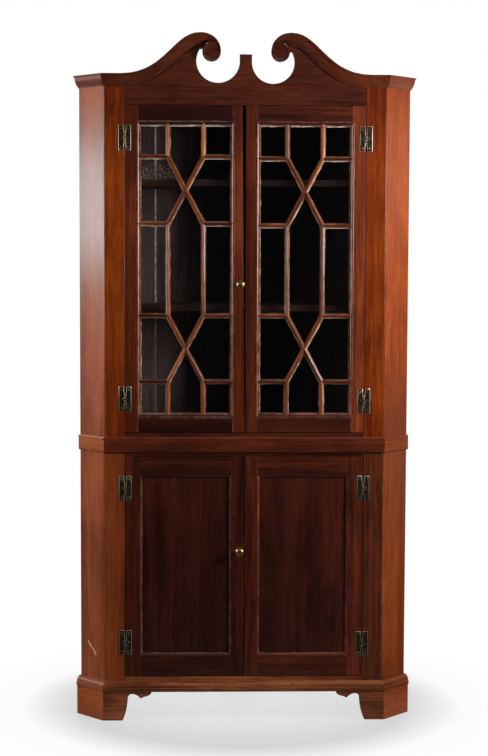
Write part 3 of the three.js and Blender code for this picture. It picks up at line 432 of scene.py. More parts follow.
# The woods: dark, middle and light streaks, tinge and what else differs. The pale colour of arrises
# used by hands is also the colour of the painted highlights.
DOOR_COAT = {"coat": 0.4, "coat_rough": 0.24}
WOODS = {
    "stile": ((84, 26, 5), (124, 50, 10), (156, 72, 16), (106, 36, 8), {"marks": 0.13}),
    "stile_brown": ((82, 33, 11), (128, 56, 22), (162, 80, 33), (106, 48, 21), {}),
    "stile_dark": ((50, 19, 9), (80, 35, 16), (112, 52, 24), (63, 29, 15), {}),
    "side_left": ((90, 36, 15), (128, 58, 26), (158, 80, 40), (110, 54, 30),
        {"coat": 0.9, "coat_rough": 0.22, "marks": 0.1, "extra": scratched}),
    "side_right": ((94, 36, 9), (136, 58, 14), (164, 80, 25), (120, 48, 13),
        {"streak": 0.4, "fine": 0.5, "blotch": 0.7, "coat_rough": 0.24, "marks": 0.09}),
    # A darker copy of the right side's wood: painted shade on the right side's lower return,
    # mouldings, foot and cornice return, where the lamps' light falls off
    "side_low": ((76, 28, 6), (106, 43, 10), (132, 62, 20), (92, 38, 11),
        {"streak": 0.4, "fine": 0.5, "blotch": 0.8, "marks": 0.06}),
    "front": ((48, 17, 8), (76, 31, 17), (104, 46, 24), (64, 26, 14),
        {"streak": 0.7, "fine": 0.5}),
    "frieze": ((48, 17, 8), (80, 32, 18), (108, 48, 25), (66, 27, 15),
        {"streak": 0.6, "fine": 0.5, "coat": 0.3, "coat_rough": 0.3}),
    "mould": ((60, 24, 9), (106, 52, 24), (146, 80, 42), (80, 38, 17),
        {"fine": 0.95, "blotch": 0.95, "worn_and_lit": (176, 112, 72)}),
    "door": ((32, 11, 7), (54, 20, 12), (84, 34, 17), (42, 15, 10),
        {**DOOR_COAT, "worn_and_lit": (194, 152, 138)}),
    "door_light": ((44, 15, 8), (70, 27, 15), (100, 42, 21), (56, 22, 12),
        {**DOOR_COAT, "worn_and_lit": (188, 126, 100)}),
    "door_warm": ((66, 23, 9), (106, 44, 20), (140, 66, 33), (88, 36, 16),
        {**DOOR_COAT, "streak": 0.7, "worn_and_lit": (190, 124, 94)}),
    "panel": ((30, 10, 7), (52, 18, 12), (78, 31, 18), (40, 16, 10),
        {"streak": 0.7, "fine": 0.6, "blotch": 0.9}),
    "bar": ((58, 22, 9), (142, 72, 36), (200, 118, 70), (116, 54, 26),
        {"shine": (0.3, 0.4), "coat": 0.45, "coat_rough": 0.16, "marks": 0,
         "worn_and_lit": (196, 120, 76)}),
    "inside": ((38, 29, 29), (64, 46, 45), (90, 68, 64), (56, 42, 42),
        {"shine": (0.6, 0.8), "coat": 0.0, "worn_and_lit": (96, 78, 70), "extra": scuffed}),
    "shelf": ((30, 15, 11), (50, 26, 19), (72, 40, 30), (42, 24, 19),
        {"shine": (0.5, 0.7), "coat": 0.05, "marks": 0, "worn_and_lit": (88, 52, 40)}),
}

materials = {look: wood(f"{look}_wood", *colours, **settings)
             for look, (*colours, settings) in WOODS.items()}
materials["iron"] = metal("hinge_iron", (44, 39, 31), (98, 86, 68), (226, 208, 186),
                          (0.34, 0.5), 160)
materials["brass"] = metal("knob_brass", (84, 66, 32), (136, 112, 62), (214, 188, 134),
                           (0.28, 0.44), 220)
materials["glass"] = pane_glass("pane_glass", (236, 238, 238))
materials["putty"] = putty_paste("old_putty", (58, 32, 22), (126, 84, 60), (240, 224, 206))


# Solids


def outward(solid):
    """Turns every face of a solid outward."""
    bmesh.ops.recalc_face_normals(solid, faces=solid.faces)
    return solid


def layer(solid, name):
    """The marks of one kind on the corners of faces."""
    layers = solid.loops.layers.float
    return layers.get(name) or layers.new(name)


def mark(face, marks, value):
    for loop in face.loops:
        loop[marks] = value


def ringed(items):
    """Each item of a closed ring with the next one."""
    return zip(items, items[1:] + items[:1])


def circle(steps):
    """Points round a circle with the radius 1."""
    return [(math.cos(math.tau * k / steps), math.sin(math.tau * k / steps)) for k in range(steps)]


def added(name, data):
    """A new object in the scene."""
    made = bpy.data.objects.new(name, data)
    bpy.context.scene.collection.objects.link(made)
    return made


def made_whole(solid):
    """Joins what triangles parted: doubled points, slivers and flat faces."""
    bmesh.ops.remove_doubles(solid, verts=solid.verts, dist=MERGE)
    bmesh.ops.dissolve_degenerate(solid, dist=MERGE, edges=solid.edges)
    bmesh.ops.dissolve_limit(solid, angle_limit=FLAT, verts=solid.verts, edges=solid.edges,
                             use_dissolve_boundaries=False)
    return solid


def copied(name):
    """The surface of a CAD node."""
    source = frame["nodes"][name].data
    solid = bmesh.new()
    corners = [solid.verts.new(v.co) for v in source.vertices]
    for polygon in source.polygons:
        solid.faces.new([corners[i] for i in polygon.vertices])
    return made_whole(solid)


def split(solid, place, direction, **settings):
    """Splits the faces along a plane."""
    everything = solid.verts[:] + solid.edges[:] + solid.faces[:]
    return bmesh.ops.bisect_plane(solid, geom=everything, dist=MERGE, plane_co=place,
                                  plane_no=direction, **settings)


def cut(solid, place, direction):
    """Keeps what lies behind a plane and closes the cut."""
    done = split(solid, place, direction, clear_outer=True)
    rim = [e for e in done["geom_cut"] if isinstance(e, bmesh.types.BMEdge) and e.is_boundary]
    bmesh.ops.holes_fill(solid, edges=rim, sides=0)
    return solid


def eased(solid, width, segments=2, chosen=lambda edge: True):
    """Rounds the arrises that are chosen, and marks the new faces as pale from use."""
    wear_and_highlight = layer(outward(solid), "wear_and_highlight")
    edges = [e for e in solid.edges
             if len(e.link_faces) == 2 and e.calc_face_angle_signed(0) > ARRIS and chosen(e)]
    done = bmesh.ops.bevel(solid, geom=edges, offset=width, offset_type="OFFSET",
                           segments=segments, profile=0.5, affect="EDGES", clamp_overlap=True)
    for face in done["faces"]:
        mark(face, wear_and_highlight, 1.0)
    return solid


def painted_sash_light(solid, off_edge, crown=0.0, rub_and_highlight=0.0, panelled=False):
    """Paints light and shade on a sash: a painted highlight along the open edge of each fillet and
    painted shade behind it, painted shade on the crown of a bar, painted highlights on beads that
    look left or right, and on the foot of the moulding round a panel a painted highlight where it
    looks up or right and painted shade elsewhere."""
    outward(solid)
    shade_and_grime, wear_and_highlight = layer(solid, "shade_and_grime"), layer(solid, "wear_and_highlight")
    for face in solid.faces:
        depth = face.calc_center_median().y - FACE
        facing = face.normal
        on_crown = crown and facing.y < -0.8 and depth < GROOVE / 2
        off_fillet = min(abs(depth - GROOVE), abs(depth - QUIRK))
        on_fillet = facing.y < FRONTAL and off_fillet < FILLET_REACH
        at_foot = panelled and FOOT_DEPTH < depth < GROOVE and facing.y > FRONTAL
        bright = max(facing.x, facing.z) > TILTED
        on_bead = rub_and_highlight and BEAD_DEPTHS[0] < depth < BEAD_DEPTHS[1] and abs(facing.x) > TILTED
        for loop in face.loops:
            if on_crown:
                loop[shade_and_grime] = crown
            elif on_fillet:
                at_edge = off_edge(loop.vert.co) < SIGHT_EDGE
                loop[shade_and_grime], loop[wear_and_highlight] = (0.0, HIGHLIGHT_MARK) if at_edge else (1.0, 0.0)
            if on_bead:
                loop[wear_and_highlight] = max(loop[wear_and_highlight], rub_and_highlight)
            if at_foot:
                loop[shade_and_grime], loop[wear_and_highlight] = (0.0, HIGHLIGHT_MARK) if bright else (FOOT_SHADE, 0.0)
    return solid


def near_doors(place):
    """Whether a point lies in the gaps round and between the doors or on the edges there."""
    if place.y > FACE + DOOR_THICKNESS:
        return False
    for low, near, far, high in DOOR_PAIRS:
        inside = min(place.x - low.x, high.x - place.x, place.z - low.z, high.z - place.z)
        between = near.x - DOOR_EDGE < place.x < far.x + DOOR_EDGE
        if -GAP_REACH < inside < DOOR_EDGE or inside > 0 and between:
            return True
    return False


def gap_shaded(solid):
    """Paints shade on the edges in the gaps round and between the doors: dark, and with no pale
    marks of use.
    """
    shade_and_grime, wear_and_highlight = layer(solid, "shade_and_grime"), layer(solid, "wear_and_highlight")
    for face in outward(solid).faces:
        if face.normal.y > -0.98 and near_doors(face.calc_center_median()):
            mark(face, shade_and_grime, GAP_SHADE)
            mark(face, wear_and_highlight, 0.0)
    return solid


def shaded_border(solid, hidden, width):
    """Paints a dark strip round a panel's front against the moulding: painted shade where the
    moulding shades the recess, with old wax gathered there as well.
    """
    shade_and_grime = layer(outward(solid), "shade_and_grime")
    middle = max((f for f in solid.faces if f.normal.y < FRONTAL), key=lambda f: f.calc_area())
    for reach, within in ((hidden, 1.0), (width, 0.0)):
        rim = set(middle.verts)
        for face in bmesh.ops.inset_region(solid, faces=[middle], thickness=reach)["faces"]:
            for loop in face.loops:
                loop[shade_and_grime] = 1.0 if loop.vert in rim else within
    return solid


def prism(points, low, high, place):
    """A solid between two levels over an outline; place turns (u, v, level) into a point."""
    solid = bmesh.new()
    bottom, top = ([solid.verts.new(place(u, v, level)) for u, v in points]
                   for level in (low, high))
    solid.faces.new(bottom)
    solid.faces.new(top[::-1])
    for (start, above), (after, over) in ringed(list(zip(bottom, top))):
        solid.faces.new([start, above, over, after])
    return outward(solid)


def fronted(points, front, back):
    """A solid that is drawn in elevation, between two planes behind each other."""
    return prism(points, front, back, lambda x, z, y: (x, y, z))


def turned(profile, x, z, steps):
    """A turned solid about an axis along Y, from pairs of radius and y."""
    solid = bmesh.new()
    rows = [[solid.verts.new((x + radius * c, y, z + radius * s))
             for c, s in (circle(steps) if radius else [(0, 0)])] for radius, y in profile]
    for row, after in zip(rows, rows[1:]):
        for k in range(steps):
            ring = [row[k % len(row)], row[(k + 1) % len(row)],
                    after[(k + 1) % len(after)], after[k % len(after)]]
            solid.faces.new(list(dict.fromkeys(ring)))
    return outward(solid)


def joined(*solids):
    """Several solids as one mesh, each keeping its own surface and wear."""
    whole = bmesh.new()
    wear_and_highlight = layer(whole, "wear_and_highlight")
    for solid in solids:
        own = layer(solid, "wear_and_highlight")
        corners = {v: whole.verts.new(v.co) for v in solid.verts}
        for face in solid.faces:
            copy = whole.faces.new([corners[v] for v in face.verts])
            for loop, source in zip(copy.loops, face.loops):
                loop[wear_and_highlight] = source[own]
        solid.free()
    return whole


def combined(solid, tool, operation):
    """The solid after a boolean with a tool."""
    parts = []
    for surface in (solid, tool):
        mesh = bpy.data.meshes.new("part")
        surface.to_mesh(mesh)
        surface.free()
        parts.append(added("part", mesh))
    modifier = parts[0].modifiers.new("boolean", "BOOLEAN")
    modifier.object = parts[1]
    modifier.operation = operation
    modifier.solver = "EXACT"
    bpy.context.view_layer.update()
    evaluated = parts[0].evaluated_get(bpy.context.evaluated_depsgraph_get())
    result = bmesh.new()
    result.from_mesh(evaluated.to_mesh())
    evaluated.to_mesh_clear()
    for part in parts:
        bpy.data.objects.remove(part)
    return made_whole(result)


# Pieces


def shift_of(name):
    """A place in the wood that differs from board to board and is the same each run."""
    code = zlib.crc32(name.encode())
    return Vector((code % 97, code // 97 % 89, code // 8633 % 83)) * 0.37


def tone_at(place, tone):
    """The tone at a point: one number, a function of the place, or an axis with stops."""
    if callable(tone):
        return tone(place)
    if not isinstance(tone, tuple):
        return tone
    axis, stops = tone
    reach = min(max(place[axis], stops[0][0]), stops[-1][0])
    for (low, first), (high, second) in zip(stops, stops[1:]):
        if reach <= high:
            return first + (second - first) * (reach - low) / (high - low)


def piece(name, solid, node_name, look, along=UP, stands_in=True):
    """The finished object, with its grain laid along the board, on its body. Its look is a
    material, or one and a tone. One piece of each CAD node stands in for it."""
    look, tone = look if isinstance(look, tuple) else (look, 0.0)
    if isinstance(tone, tuple):
        axis, stops = tone
        way = Vector([float(k == axis) for k in range(3)])
        for place, _ in stops:
            split(solid, way * place, way)
    for face in outward(solid).faces:
        face.smooth = True
    for edge in solid.edges:
        edge.smooth = len(edge.link_faces) == 2 and edge.calc_face_angle(0) < CREASE
    mesh = bpy.data.meshes.new(name)
    solid.to_mesh(mesh)
    solid.free()

    along = Vector(along).normalized()
    aside = Vector((0, 1, 0)) if abs(along.y) < 0.5 else RIGHT
    across = along.cross(aside).normalized()
    into = along.cross(across)
    shift = shift_of(name)
    grain, tones = [], []
    for vertex in mesh.vertices:
        place = vertex.co
        grain.extend(Vector((place @ along, place @ across, place @ into)) + shift)
        tones.append(tone_at(place, tone))
    mesh.attributes.new("grain", "FLOAT_VECTOR", "POINT").data.foreach_set("vector", grain)
    mesh.attributes.new("tone", "FLOAT", "POINT").data.foreach_set("value", tones)

    made = added(name, mesh)
    mesh.materials.append(materials[look])
    made.modifiers.new("even_shading", "WEIGHTED_NORMAL").keep_sharp = True
    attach(made, frame["nodes"][node_name]["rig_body"])
    if stands_in:
        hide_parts(node_name)


def board(name, look, ease=BOARD_EASE):
    """A level CAD board with its arrises eased."""
    # Painted shade on the board's edges at the door gaps
    piece(f"{name}_board", gap_shaded(eased(copied(name), ease)), name, look, RIGHT)


# Case: looks and tones, with stops along x (0) or up the height (2) where a tone changes. Each
# board's tone makes it lighter or darker, some of it painted light and shade that follows where the
# lamps' light rises and falls off.

LOOKS_AND_SHADE = {
    "upper_stile_left": ("stile", (2, [(1.05, -0.1), (1.35, 0.1), (1.85, 0.0), (2.17, -0.2)])),
    "upper_stile_right": ("stile", (2, [(1.05, 0.0), (1.3, 0.12), (1.53, 0.0), (1.75, 0.2),
        (1.95, 0.18), (2.17, -0.08)])),
    "lower_stile_left": ("stile_brown", (2, [(0.35, 0.0), (0.55, -0.06), (0.75, 0.0)])),
    "lower_stile_right": ("stile_dark", (2, [(0.2, 0.12), (0.45, 0.1), (0.7, -0.06),
        (0.9, -0.04)])),
    "upper_return_left": ("side_left", (2, [(1.0, 0.1), (1.4, 0.2), (1.6, 0.04), (1.9, -0.08),
        (2.1, 0.04), (2.2, 0.22)])),
    # Painted shade: darker low down, where the right lamp's light falls off
    "upper_return_right": ("side_right", (2, [(1.0, -0.32), (1.15, -0.24), (1.3, -0.07),
        (1.45, -0.1), (1.6, 0.02), (1.9, 0.08), (2.2, -0.12)])),
    "lower_return_left": ("side_left", (2, [(0.2, 0.22), (0.65, -0.06), (0.9, 0.14)])),
    "lower_return_right": ("side_low", (2, [(0.2, -0.08), (0.6, 0.04), (0.8, 0.05),
        (0.9, -0.04)])),
    "lower_bottom_rail": ("mould", (0, [(-0.2, 0.04), (0.2, -0.1)])),
    "base_moulding_front": "mould",
    "base_moulding_left": ("side_left", 0.25), "base_moulding_right": ("side_low", -0.04),
    "waist_band_front": ("front", (0, [(-0.25, 0.1), (0.25, -0.02)])),
    "waist_band_left": ("side_left", 0.12), "waist_band_right": ("side_low", 0.1),
    "foot_left_front": ("mould", 0.14), "foot_right_front": ("mould", 0.02),
    "foot_left_return": ("side_right", 0.2), "foot_right_return": ("side_low", 0.12),
    "swan_neck_left": ("front", -0.05),
    "swan_neck_right": ("front", (0, [(0.15, -0.04), (0.21, 0.16), (0.3, 0.2)])),
    "cornice_return_left": ("frieze", 0.2), "cornice_return_right": ("side_low", -0.04),
}
# Painted shade: the shelves darken towards their right ends, where the right stile shades them
SHELF_LOOK_AND_SHADE = ("shelf", (0, [(-0.3, 0.1), (-0.06, -0.18), (0.24, -0.2), (0.3, -0.9)]))
# Painted shade inside: the upper left wall darkens towards the back corner, where the lamps' light
# falls off, and the inner faces of the right walls are dark
LEFT_WALL_FALLOFF = (0, [(-0.34, 0.04), (-0.2, -0.2), (0.0, -0.4)])
INSIDE_WALL_SHADE = -0.5
WALL_SPREAD = 0.12
WALL_SKIN = 3 * MM
BACK_BOARDS = 4
BACK_BOARD = 228.5 * MM
MITRE = math.pi / 8
NECK_RISE = 0.42


def on_corner(edge):
    """Whether an edge is one of the two long front corners of the case."""
    return all(abs(abs(v.co.x) - CORNER) < MM and abs(v.co.y - FACE) < MM for v in edge.verts)


def corner_board(name):
    """A stile or return, whose long front corner is rounded off by use."""
    solid = eased(copied(name), CORNER_EASE, 4, on_corner)
    # Painted shade on the board's edges at the door gaps
    solid = gap_shaded(eased(solid, BOARD_EASE, 2, lambda edge: not on_corner(edge)))
    piece(f"{name}_board", solid, name, LOOKS_AND_SHADE[name])


def build_case():
    for word, side in SIDES:
        for part in ("upper_stile", "lower_stile", "upper_return", "lower_return"):
            corner_board(f"{part}_{word}")
        for level in ("upper", "lower"):
            build_back(f"{level}_back_{word}", side)
    board("lower_bottom_rail", LOOKS_AND_SHADE["lower_bottom_rail"])
    for name in ("lower_top_rail", "upper_bottom_rail"):
        board(name, "front")
    for name in ("lower_bottom_board", "lower_top_board", "upper_bottom_board", "upper_top_board",
                 "foot_rear"):
        board(name, "inside")
    for name in ("lower_shelf", "upper_low_shelf", "upper_high_shelf"):
        board(name, SHELF_LOOK_AND_SHADE, SHELF_EASE)


def build_back(name, side):
    """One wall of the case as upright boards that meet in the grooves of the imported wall."""
    corner = Vector((0, cad_box[1][1], 0))
    way = Vector((side, -1, 0)).normalized()
    through = Vector((way.y, -way.x, 0))
    draw = random.Random(name)
    for k in range(BACK_BOARDS):
        wall = copied(name)
        if k > 0:
            cut(wall, corner + way * (k * BACK_BOARD + JOINT_GAP), -way)
        if k < BACK_BOARDS - 1:
            cut(wall, corner + way * ((k + 1) * BACK_BOARD - JOINT_GAP), way)
        plain = draw.uniform(-WALL_SPREAD, WALL_SPREAD)

        # Painted shade on the inner face of a right wall; its back keeps the board's tone
        def shaded_inside(place):
            on_back = abs((place - corner).dot(through)) < WALL_SKIN
            return plain if on_back else INSIDE_WALL_SHADE

        tone = shaded_inside if side > 0 else plain
        # Painted shade on the upper left wall, darker towards the back corner
        if name == "upper_back_left":
            tone = LEFT_WALL_FALLOFF
        piece(f"{name}_board_{k + 1}", eased(wall, WALL_EASE), name, ("inside", tone),
              UP, k == 0)


def mitred(solid, side, keep):
    """A moulding or bracket cut on the mitre of a front corner. It keeps its front with 1 and
    its return with -1."""
    way = Vector((side * math.cos(MITRE), math.sin(MITRE), 0)) * keep
    return cut(solid, Vector((side * CORNER, FACE, 0)) - way * JOINT_GAP, way)


def mitred_lengths(name, ease, returns):
    """A moulding or bracket as a front and its returns, mitred at the corners."""
    front = copied(name)
    for _, side in returns:
        mitred(front, side, 1)
    piece(f"{name}_front", eased(front, ease), name, LOOKS_AND_SHADE[f"{name}_front"], RIGHT)
    for word, side in returns:
        length = eased(mitred(copied(name), side, -1), ease)
        piece(f"{name}_{word}", length, name, LOOKS_AND_SHADE[f"{name}_{word}"],
              (side, 1, 0), False)


def build_mouldings():
    mitred_lengths("base_moulding", 0.7 * MM, SIDES)
    mitred_lengths("waist_band", 0.6 * MM, SIDES)
    for word, side in SIDES:
        mitred_lengths(f"foot_{word}", FOOT_EASE, [("return", side)])


def build_pediment():
    board("pediment_board", "frieze", 0.8 * MM)
    for word, side in SIDES:
        for name, ease, slot, along in (
                (f"swan_neck_{word}", 0.5 * MM, "door_wood", (-side, 0, NECK_RISE)),
                (f"cornice_return_{word}", 0.6 * MM, "case_wood", (side, 1, 0))):
            piece(f"{name}_moulding", eased(copied(name), ease), name, LOOKS_AND_SHADE[name], along)


# Doors


class Opening:
    """The sight opening of a door, from the box of what fills it."""

    def __init__(self, filling):
        low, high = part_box(filling)
        self.left, self.right = low.x + REBATE, high.x - REBATE
        self.base, self.top = low.z + REBATE, high.z - REBATE
        self.middle = (self.left + self.right) / 2

    def off_edge(self, place):
        """How far a point on the frame lies from the sight edge."""
        return max(self.left - place.x, place.x - self.right, self.base - place.z,
                   place.z - self.top)


def rail_block(opening, shoulder, at_top, play):
    """The space of one rail: square shoulders above the moulding and mitres through it."""
    level, out = (opening.top, 1) if at_top else (opening.base, -1)
    side = opening.left - shoulder - play
    near = [(opening.left - play, level - out * play), (side, level + out * (shoulder - play)),
            (side, level + out * TOOL_REACH)]
    far = [(opening.left + opening.right - x, z) for x, z in near]
    return fronted(near + far[::-1], FACE - TOOL_REACH, FACE + TOOL_REACH)


def door_members(door, opening, shoulder, rub_and_highlight, panelled=False):
    """Two stiles and two rails cut from a door frame along its joints."""
    name = f"{door}_frame"

    def member(word, kind, solid, along, stands_in):
        # Painted light and shade on the sash, and painted shade on its edges at the door gaps
        solid = painted_sash_light(eased(solid, DOOR_EASE), opening.off_edge, 0.0,
                       rub_and_highlight if kind == "stile" else 0.0, panelled)
        piece(f"{door}_{word}_{kind}", gap_shaded(solid), name, MEMBERS[door][word],
              along, stands_in)

    stiles = copied(name)
    for word, at_top in (("top", True), ("low", False)):
        stiles = combined(stiles, rail_block(opening, shoulder, at_top, JOINT_GAP), "DIFFERENCE")
        rail = combined(copied(name), rail_block(opening, shoulder, at_top, -JOINT_GAP),
                        "INTERSECT")
        member(word, "rail", rail, RIGHT, False)
    for word, side in SIDES:
        half = cut(stiles.copy(), Vector((opening.middle, 0, 0)), RIGHT * -side)
        member(word, "stile", half, UP, side < 0)
    stiles.free()


def pane_outlines(opening, drop):
    """The thirteen panes, as outlines on the bars' middle lines, and whether each side lies
    along the door frame."""
    west, east, middle = opening.left, opening.right, opening.middle
    one, two = west + SIDE_SHARE * (east - west), east - SIDE_SHARE * (east - west)
    top, base = opening.top, opening.base
    high, low = top - HIGH_PANE - drop, base + LOW_PANE
    levels = [top, high, high - CROSS, low + CROSS, low, base]
    spans = list(zip(levels, levels[1:]))
    tips = {k: (middle, sum(spans[k]) / 2) for k in (1, 3)}
    upper, lower = tips.values()
    panes = [
        [(edge, above), (edge, below), (column, below), *([tips[k]] if k in tips else []),
         (column, above)]
        for edge, column in ((west, one), (east, two)) for k, (above, below) in enumerate(spans)
    ] + [
        [(one, top), (one, high), upper, (two, high), (two, top)],
        [upper, *((one, z) for z in levels[2:4]), lower, *((two, z) for z in levels[3:1:-1])],
        [(one, low), (one, base), (two, base), (two, low), lower],
    ]

    def on_frame(start, end):
        return any(abs(start[axis] - value) < MM and abs(end[axis] - value) < MM
                   for axis, value in ((0, west), (0, east), (1, top), (1, base)))

    outlines = []
    for points in panes:
        area = sum(a[0] * b[1] - b[0] * a[1] for a, b in ringed(points))
        ordered = points if area > 0 else points[::-1]
        outlines.append((ordered, [on_frame(*ends) for ends in ringed(ordered)]))
    return outlines


def bar_lines(opening, drop):
    """The middle lines of the bars: every side of a pane that doesn't lie along the frame."""
    return list(dict.fromkeys(
        tuple(sorted(ends)) for outline, on_frame in pane_outlines(opening, drop)
        for ends, framed in zip(ringed(outline), on_frame) if not framed))


def direction(start, end):
    return Vector((end[0] - start[0], end[1] - start[1])).normalized()


def bar_space(line, lines):
    """The space of one bar, bounded by mitres halfway to its neighbours at each joint."""
    corners = []
    for start, end in (line, line[::-1]):
        way = direction(start, end)
        others = [direction(a, b) for pair in lines for a, b in (pair, pair[::-1])
                  if a == start and b != end]
        turns = sorted(math.atan2(way.cross(o), way.dot(o)) % math.tau for o in others)
        begin = Vector(start) + way * JOINT_GAP
        if not turns:
            aside = Vector((-way.y, way.x)) * BAR_SPACE
            back = Vector(start) - way * 4 * BAR_SPACE
            corners += [back - aside, back + aside]
            continue
        right, left = (turns[-1] - math.tau) / 2, turns[0] / 2
        for turn in (right, left):
            mitre = Matrix.Rotation(turn, 2) @ way
            corner = begin + mitre * BAR_SPACE / abs(math.sin(turn))
            corners += [corner, begin] if turn == right else [corner]
    return [tuple(corner) for corner in corners]


def build_bars(lattice, opening, drop):
    """The lattice as separate sticks, each with its own grain, mitred where they meet."""
    draw = random.Random(lattice)
    lines = bar_lines(opening, drop)
    for k, line in enumerate(lines):
        space = fronted(bar_space(line, lines), FACE - TOOL_REACH, FACE + TOOL_REACH)
        bar = combined(copied(lattice), space, "INTERSECT")
        (x, z), (u, w) = line
        length = math.hypot(u - x, w - z)

        def off_edge(place):
            return BAR_HALF - abs((place.x - x) * (w - z) - (place.z - z) * (u - x)) / length

        # Painted shade on the crown of the bar and behind the fillets' open edges, and painted
        # highlights along those edges
        bar = painted_sash_light(eased(bar, BAR_EASE, 1), off_edge, CROWN_SHADE)
        rise = abs(w - z) / length
        # Painted shade: level bars darker than crossed and upright ones
        tone = LEVEL_BAR_SHADE if rise < 0.1 else UPRIGHT_BAR if rise > 0.99 else CROSSED_BAR
        piece(f"{lattice}_bar_{k + 1}", bar, lattice,
              ("bar", tone + draw.uniform(-BAR_SPREAD, BAR_SPREAD)),
              (u - x, 0, w - z), k == 0)


PUTTY_PLAY = 0.1 * MM
PUTTY_STEP = 9 * MM
PUTTY_EDGE = 2.6 * MM
PUTTY_HEIGHT = 4.6 * MM
PUTTY_FEATHER = 0.5 * MM
PUTTY_SWAY = 2.2 * MM
PUTTY_WAVES = 60
# Painted light on the putty: its base lightness, and how much lighter or darker it is by the way
# its edge runs, paler along the top of a pane and darker along its foot
PUTTY_PALE = 0.4
PUTTY_SHADE = (0.52, 0.1)
PANE_PLAY = 0.2 * MM
PANE_FRONT = 0.4 * MM
PANE_BACK = 0.5 * MM
PANE_LEAN = 0.0016
PANE_TIP = 0.0008


def inset(outline, on_frame, from_bar, from_frame):
    """A convex outline moved in by one distance along bars and another along the frame."""
    lines = []
    for (start, end), framed in zip(ringed(outline), on_frame):
        way = direction(start, end)
        inward = Vector((-way.y, way.x))
        lines.append((Vector(start) + inward * (from_frame if framed else from_bar), way))
    corners = []
    for (first, way), (second, turn) in zip(lines[-1:] + lines[:-1], lines):
        gap = second - first
        corners.append(first + way * (gap.cross(turn) / way.cross(turn)))
    return corners


def putty_ring(outline, on_frame, back, seed):
    """A fillet of putty round a pane, thick against the bar and feathered on the glass."""
    outer, shoulder, inner = (inset(outline, on_frame, *margins) for margins in (
        (TONGUE_HALF, TONGUE_HALF - REBATE), (BAR_HALF - MM, -MM),
        (BAR_HALF + PUTTY_EDGE, PUTTY_EDGE)))
    solid = bmesh.new()
    putty_light = layer(solid, "wear_and_highlight")
    rings, pale = [[] for _ in range(4)], []
    for ends in zip(ringed(outer), ringed(shoulder), ringed(inner)):
        along = ends[2][1] - ends[2][0]
        way = along.normalized()
        count = max(2, round(along.length / PUTTY_STEP))
        for part in range(count):
            root, crest, edge = (start.lerp(end, part / count) for start, end in ends)
            # Painted light: paler along the top of the pane, darker along its foot, and darker on
            # its right than on its left
            pale.append(PUTTY_PALE - Vector(PUTTY_SHADE).dot(way))
            spot = Vector((edge.x * PUTTY_WAVES, edge.y * PUTTY_WAVES, seed))
            edge = edge + (edge - crest).normalized() * (noise.noise(spot) * PUTTY_SWAY)
            for ring, point, height in zip(rings, (root, crest, edge, edge),
                                           (0, PUTTY_HEIGHT, PUTTY_FEATHER, 0)):
                ring.append(solid.verts.new((point.x, back + height, point.y)))
    for row, after in ringed(rings):
        for shade, (start, end), (over, above) in zip(pale, ringed(row), ringed(after)):
            mark(solid.faces.new([start, end, above, over]), putty_light, shade)
    return solid


def build_glazing(door):
    glass = f"{door}_glass"
    opening = Opening(glass)
    front, back = (corner.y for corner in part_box(glass))
    on_right = door.endswith("right")
    seed = 5 if on_right else 4
    drop = RIGHT_DROP if on_right else 0
    panes, fillets = [], []
    for k, (outline, on_frame) in enumerate(pane_outlines(opening, drop)):
        sheet = inset(outline, on_frame, TONGUE_HALF + PANE_PLAY, TONGUE_HALF - REBATE)
        lean, tip = (noise.noise(Vector((k * 3.7, seed * 5.1, spot))) * most
                     for spot, most in ((0, PANE_LEAN), (9, PANE_TIP)))
        middle = sum((Vector(p) for p in outline), Vector((0, 0))) / len(outline)
        panes.append(prism(
            sheet, front + PANE_FRONT, back - PANE_BACK,
            lambda x, z, y: (x, y + (x - middle.x) * lean + (z - middle.y) * tip, z)))
        fillets.append(putty_ring(outline, on_frame, back + PUTTY_PLAY, k + 20 * seed))
    piece(f"{door}_panes", joined(*panes), glass, "glass")
    piece(f"{door}_putty", joined(*fillets), glass, "putty", stands_in=False)
    build_bars(f"{door}_lattice", opening, drop)


MEMBERS = {
    "upper_door_left": {
        "top": ("door", -0.1), "low": ("door", -0.04),
        "left": ("door_warm", (2, [(1.85, -0.05), (2.06, -0.38)])),
        "right": ("door_warm", (2, [(1.4, -0.3), (1.65, 0.03), (1.98, 0.0), (2.1, -0.24)]))},
    "upper_door_right": {
        "top": ("door_light", 0.04), "low": ("door_light", -0.09),
        "left": ("door_light", (2, [(1.2, 0.13), (1.7, 0.06)])), "right": ("door_warm", 0.12)},
    "lower_door_left": {
        "top": ("door", -0.06), "low": ("door", 0.02), "left": ("door", 0.07),
        "right": ("door", 0.04)},
    "lower_door_right": {
        "top": ("door_light", -0.04), "low": ("door_light", -0.04),
        "left": ("door_light", 0.02), "right": ("door_light", 0.02)},
}
PANEL_TONES = {"left": (2, [(0.25, -0.03), (0.55, 0.03), (0.85, 0.17)]),
               "right": (2, [(0.25, 0.08), (0.55, 0.08), (0.85, 0.26)])}
UPPER_SHOULDER = 9 * MM
LOWER_SHOULDER = 7 * MM
# Painted highlights on the beads that look left or right, and the width of the painted shade round
# a panel
UPPER_BEAD_HIGHLIGHT = 0.6
LOWER_BEAD_HIGHLIGHT = 0.25
PANEL_EASE = 0.4 * MM
PANEL_SHADE_WIDTH = 6 * MM


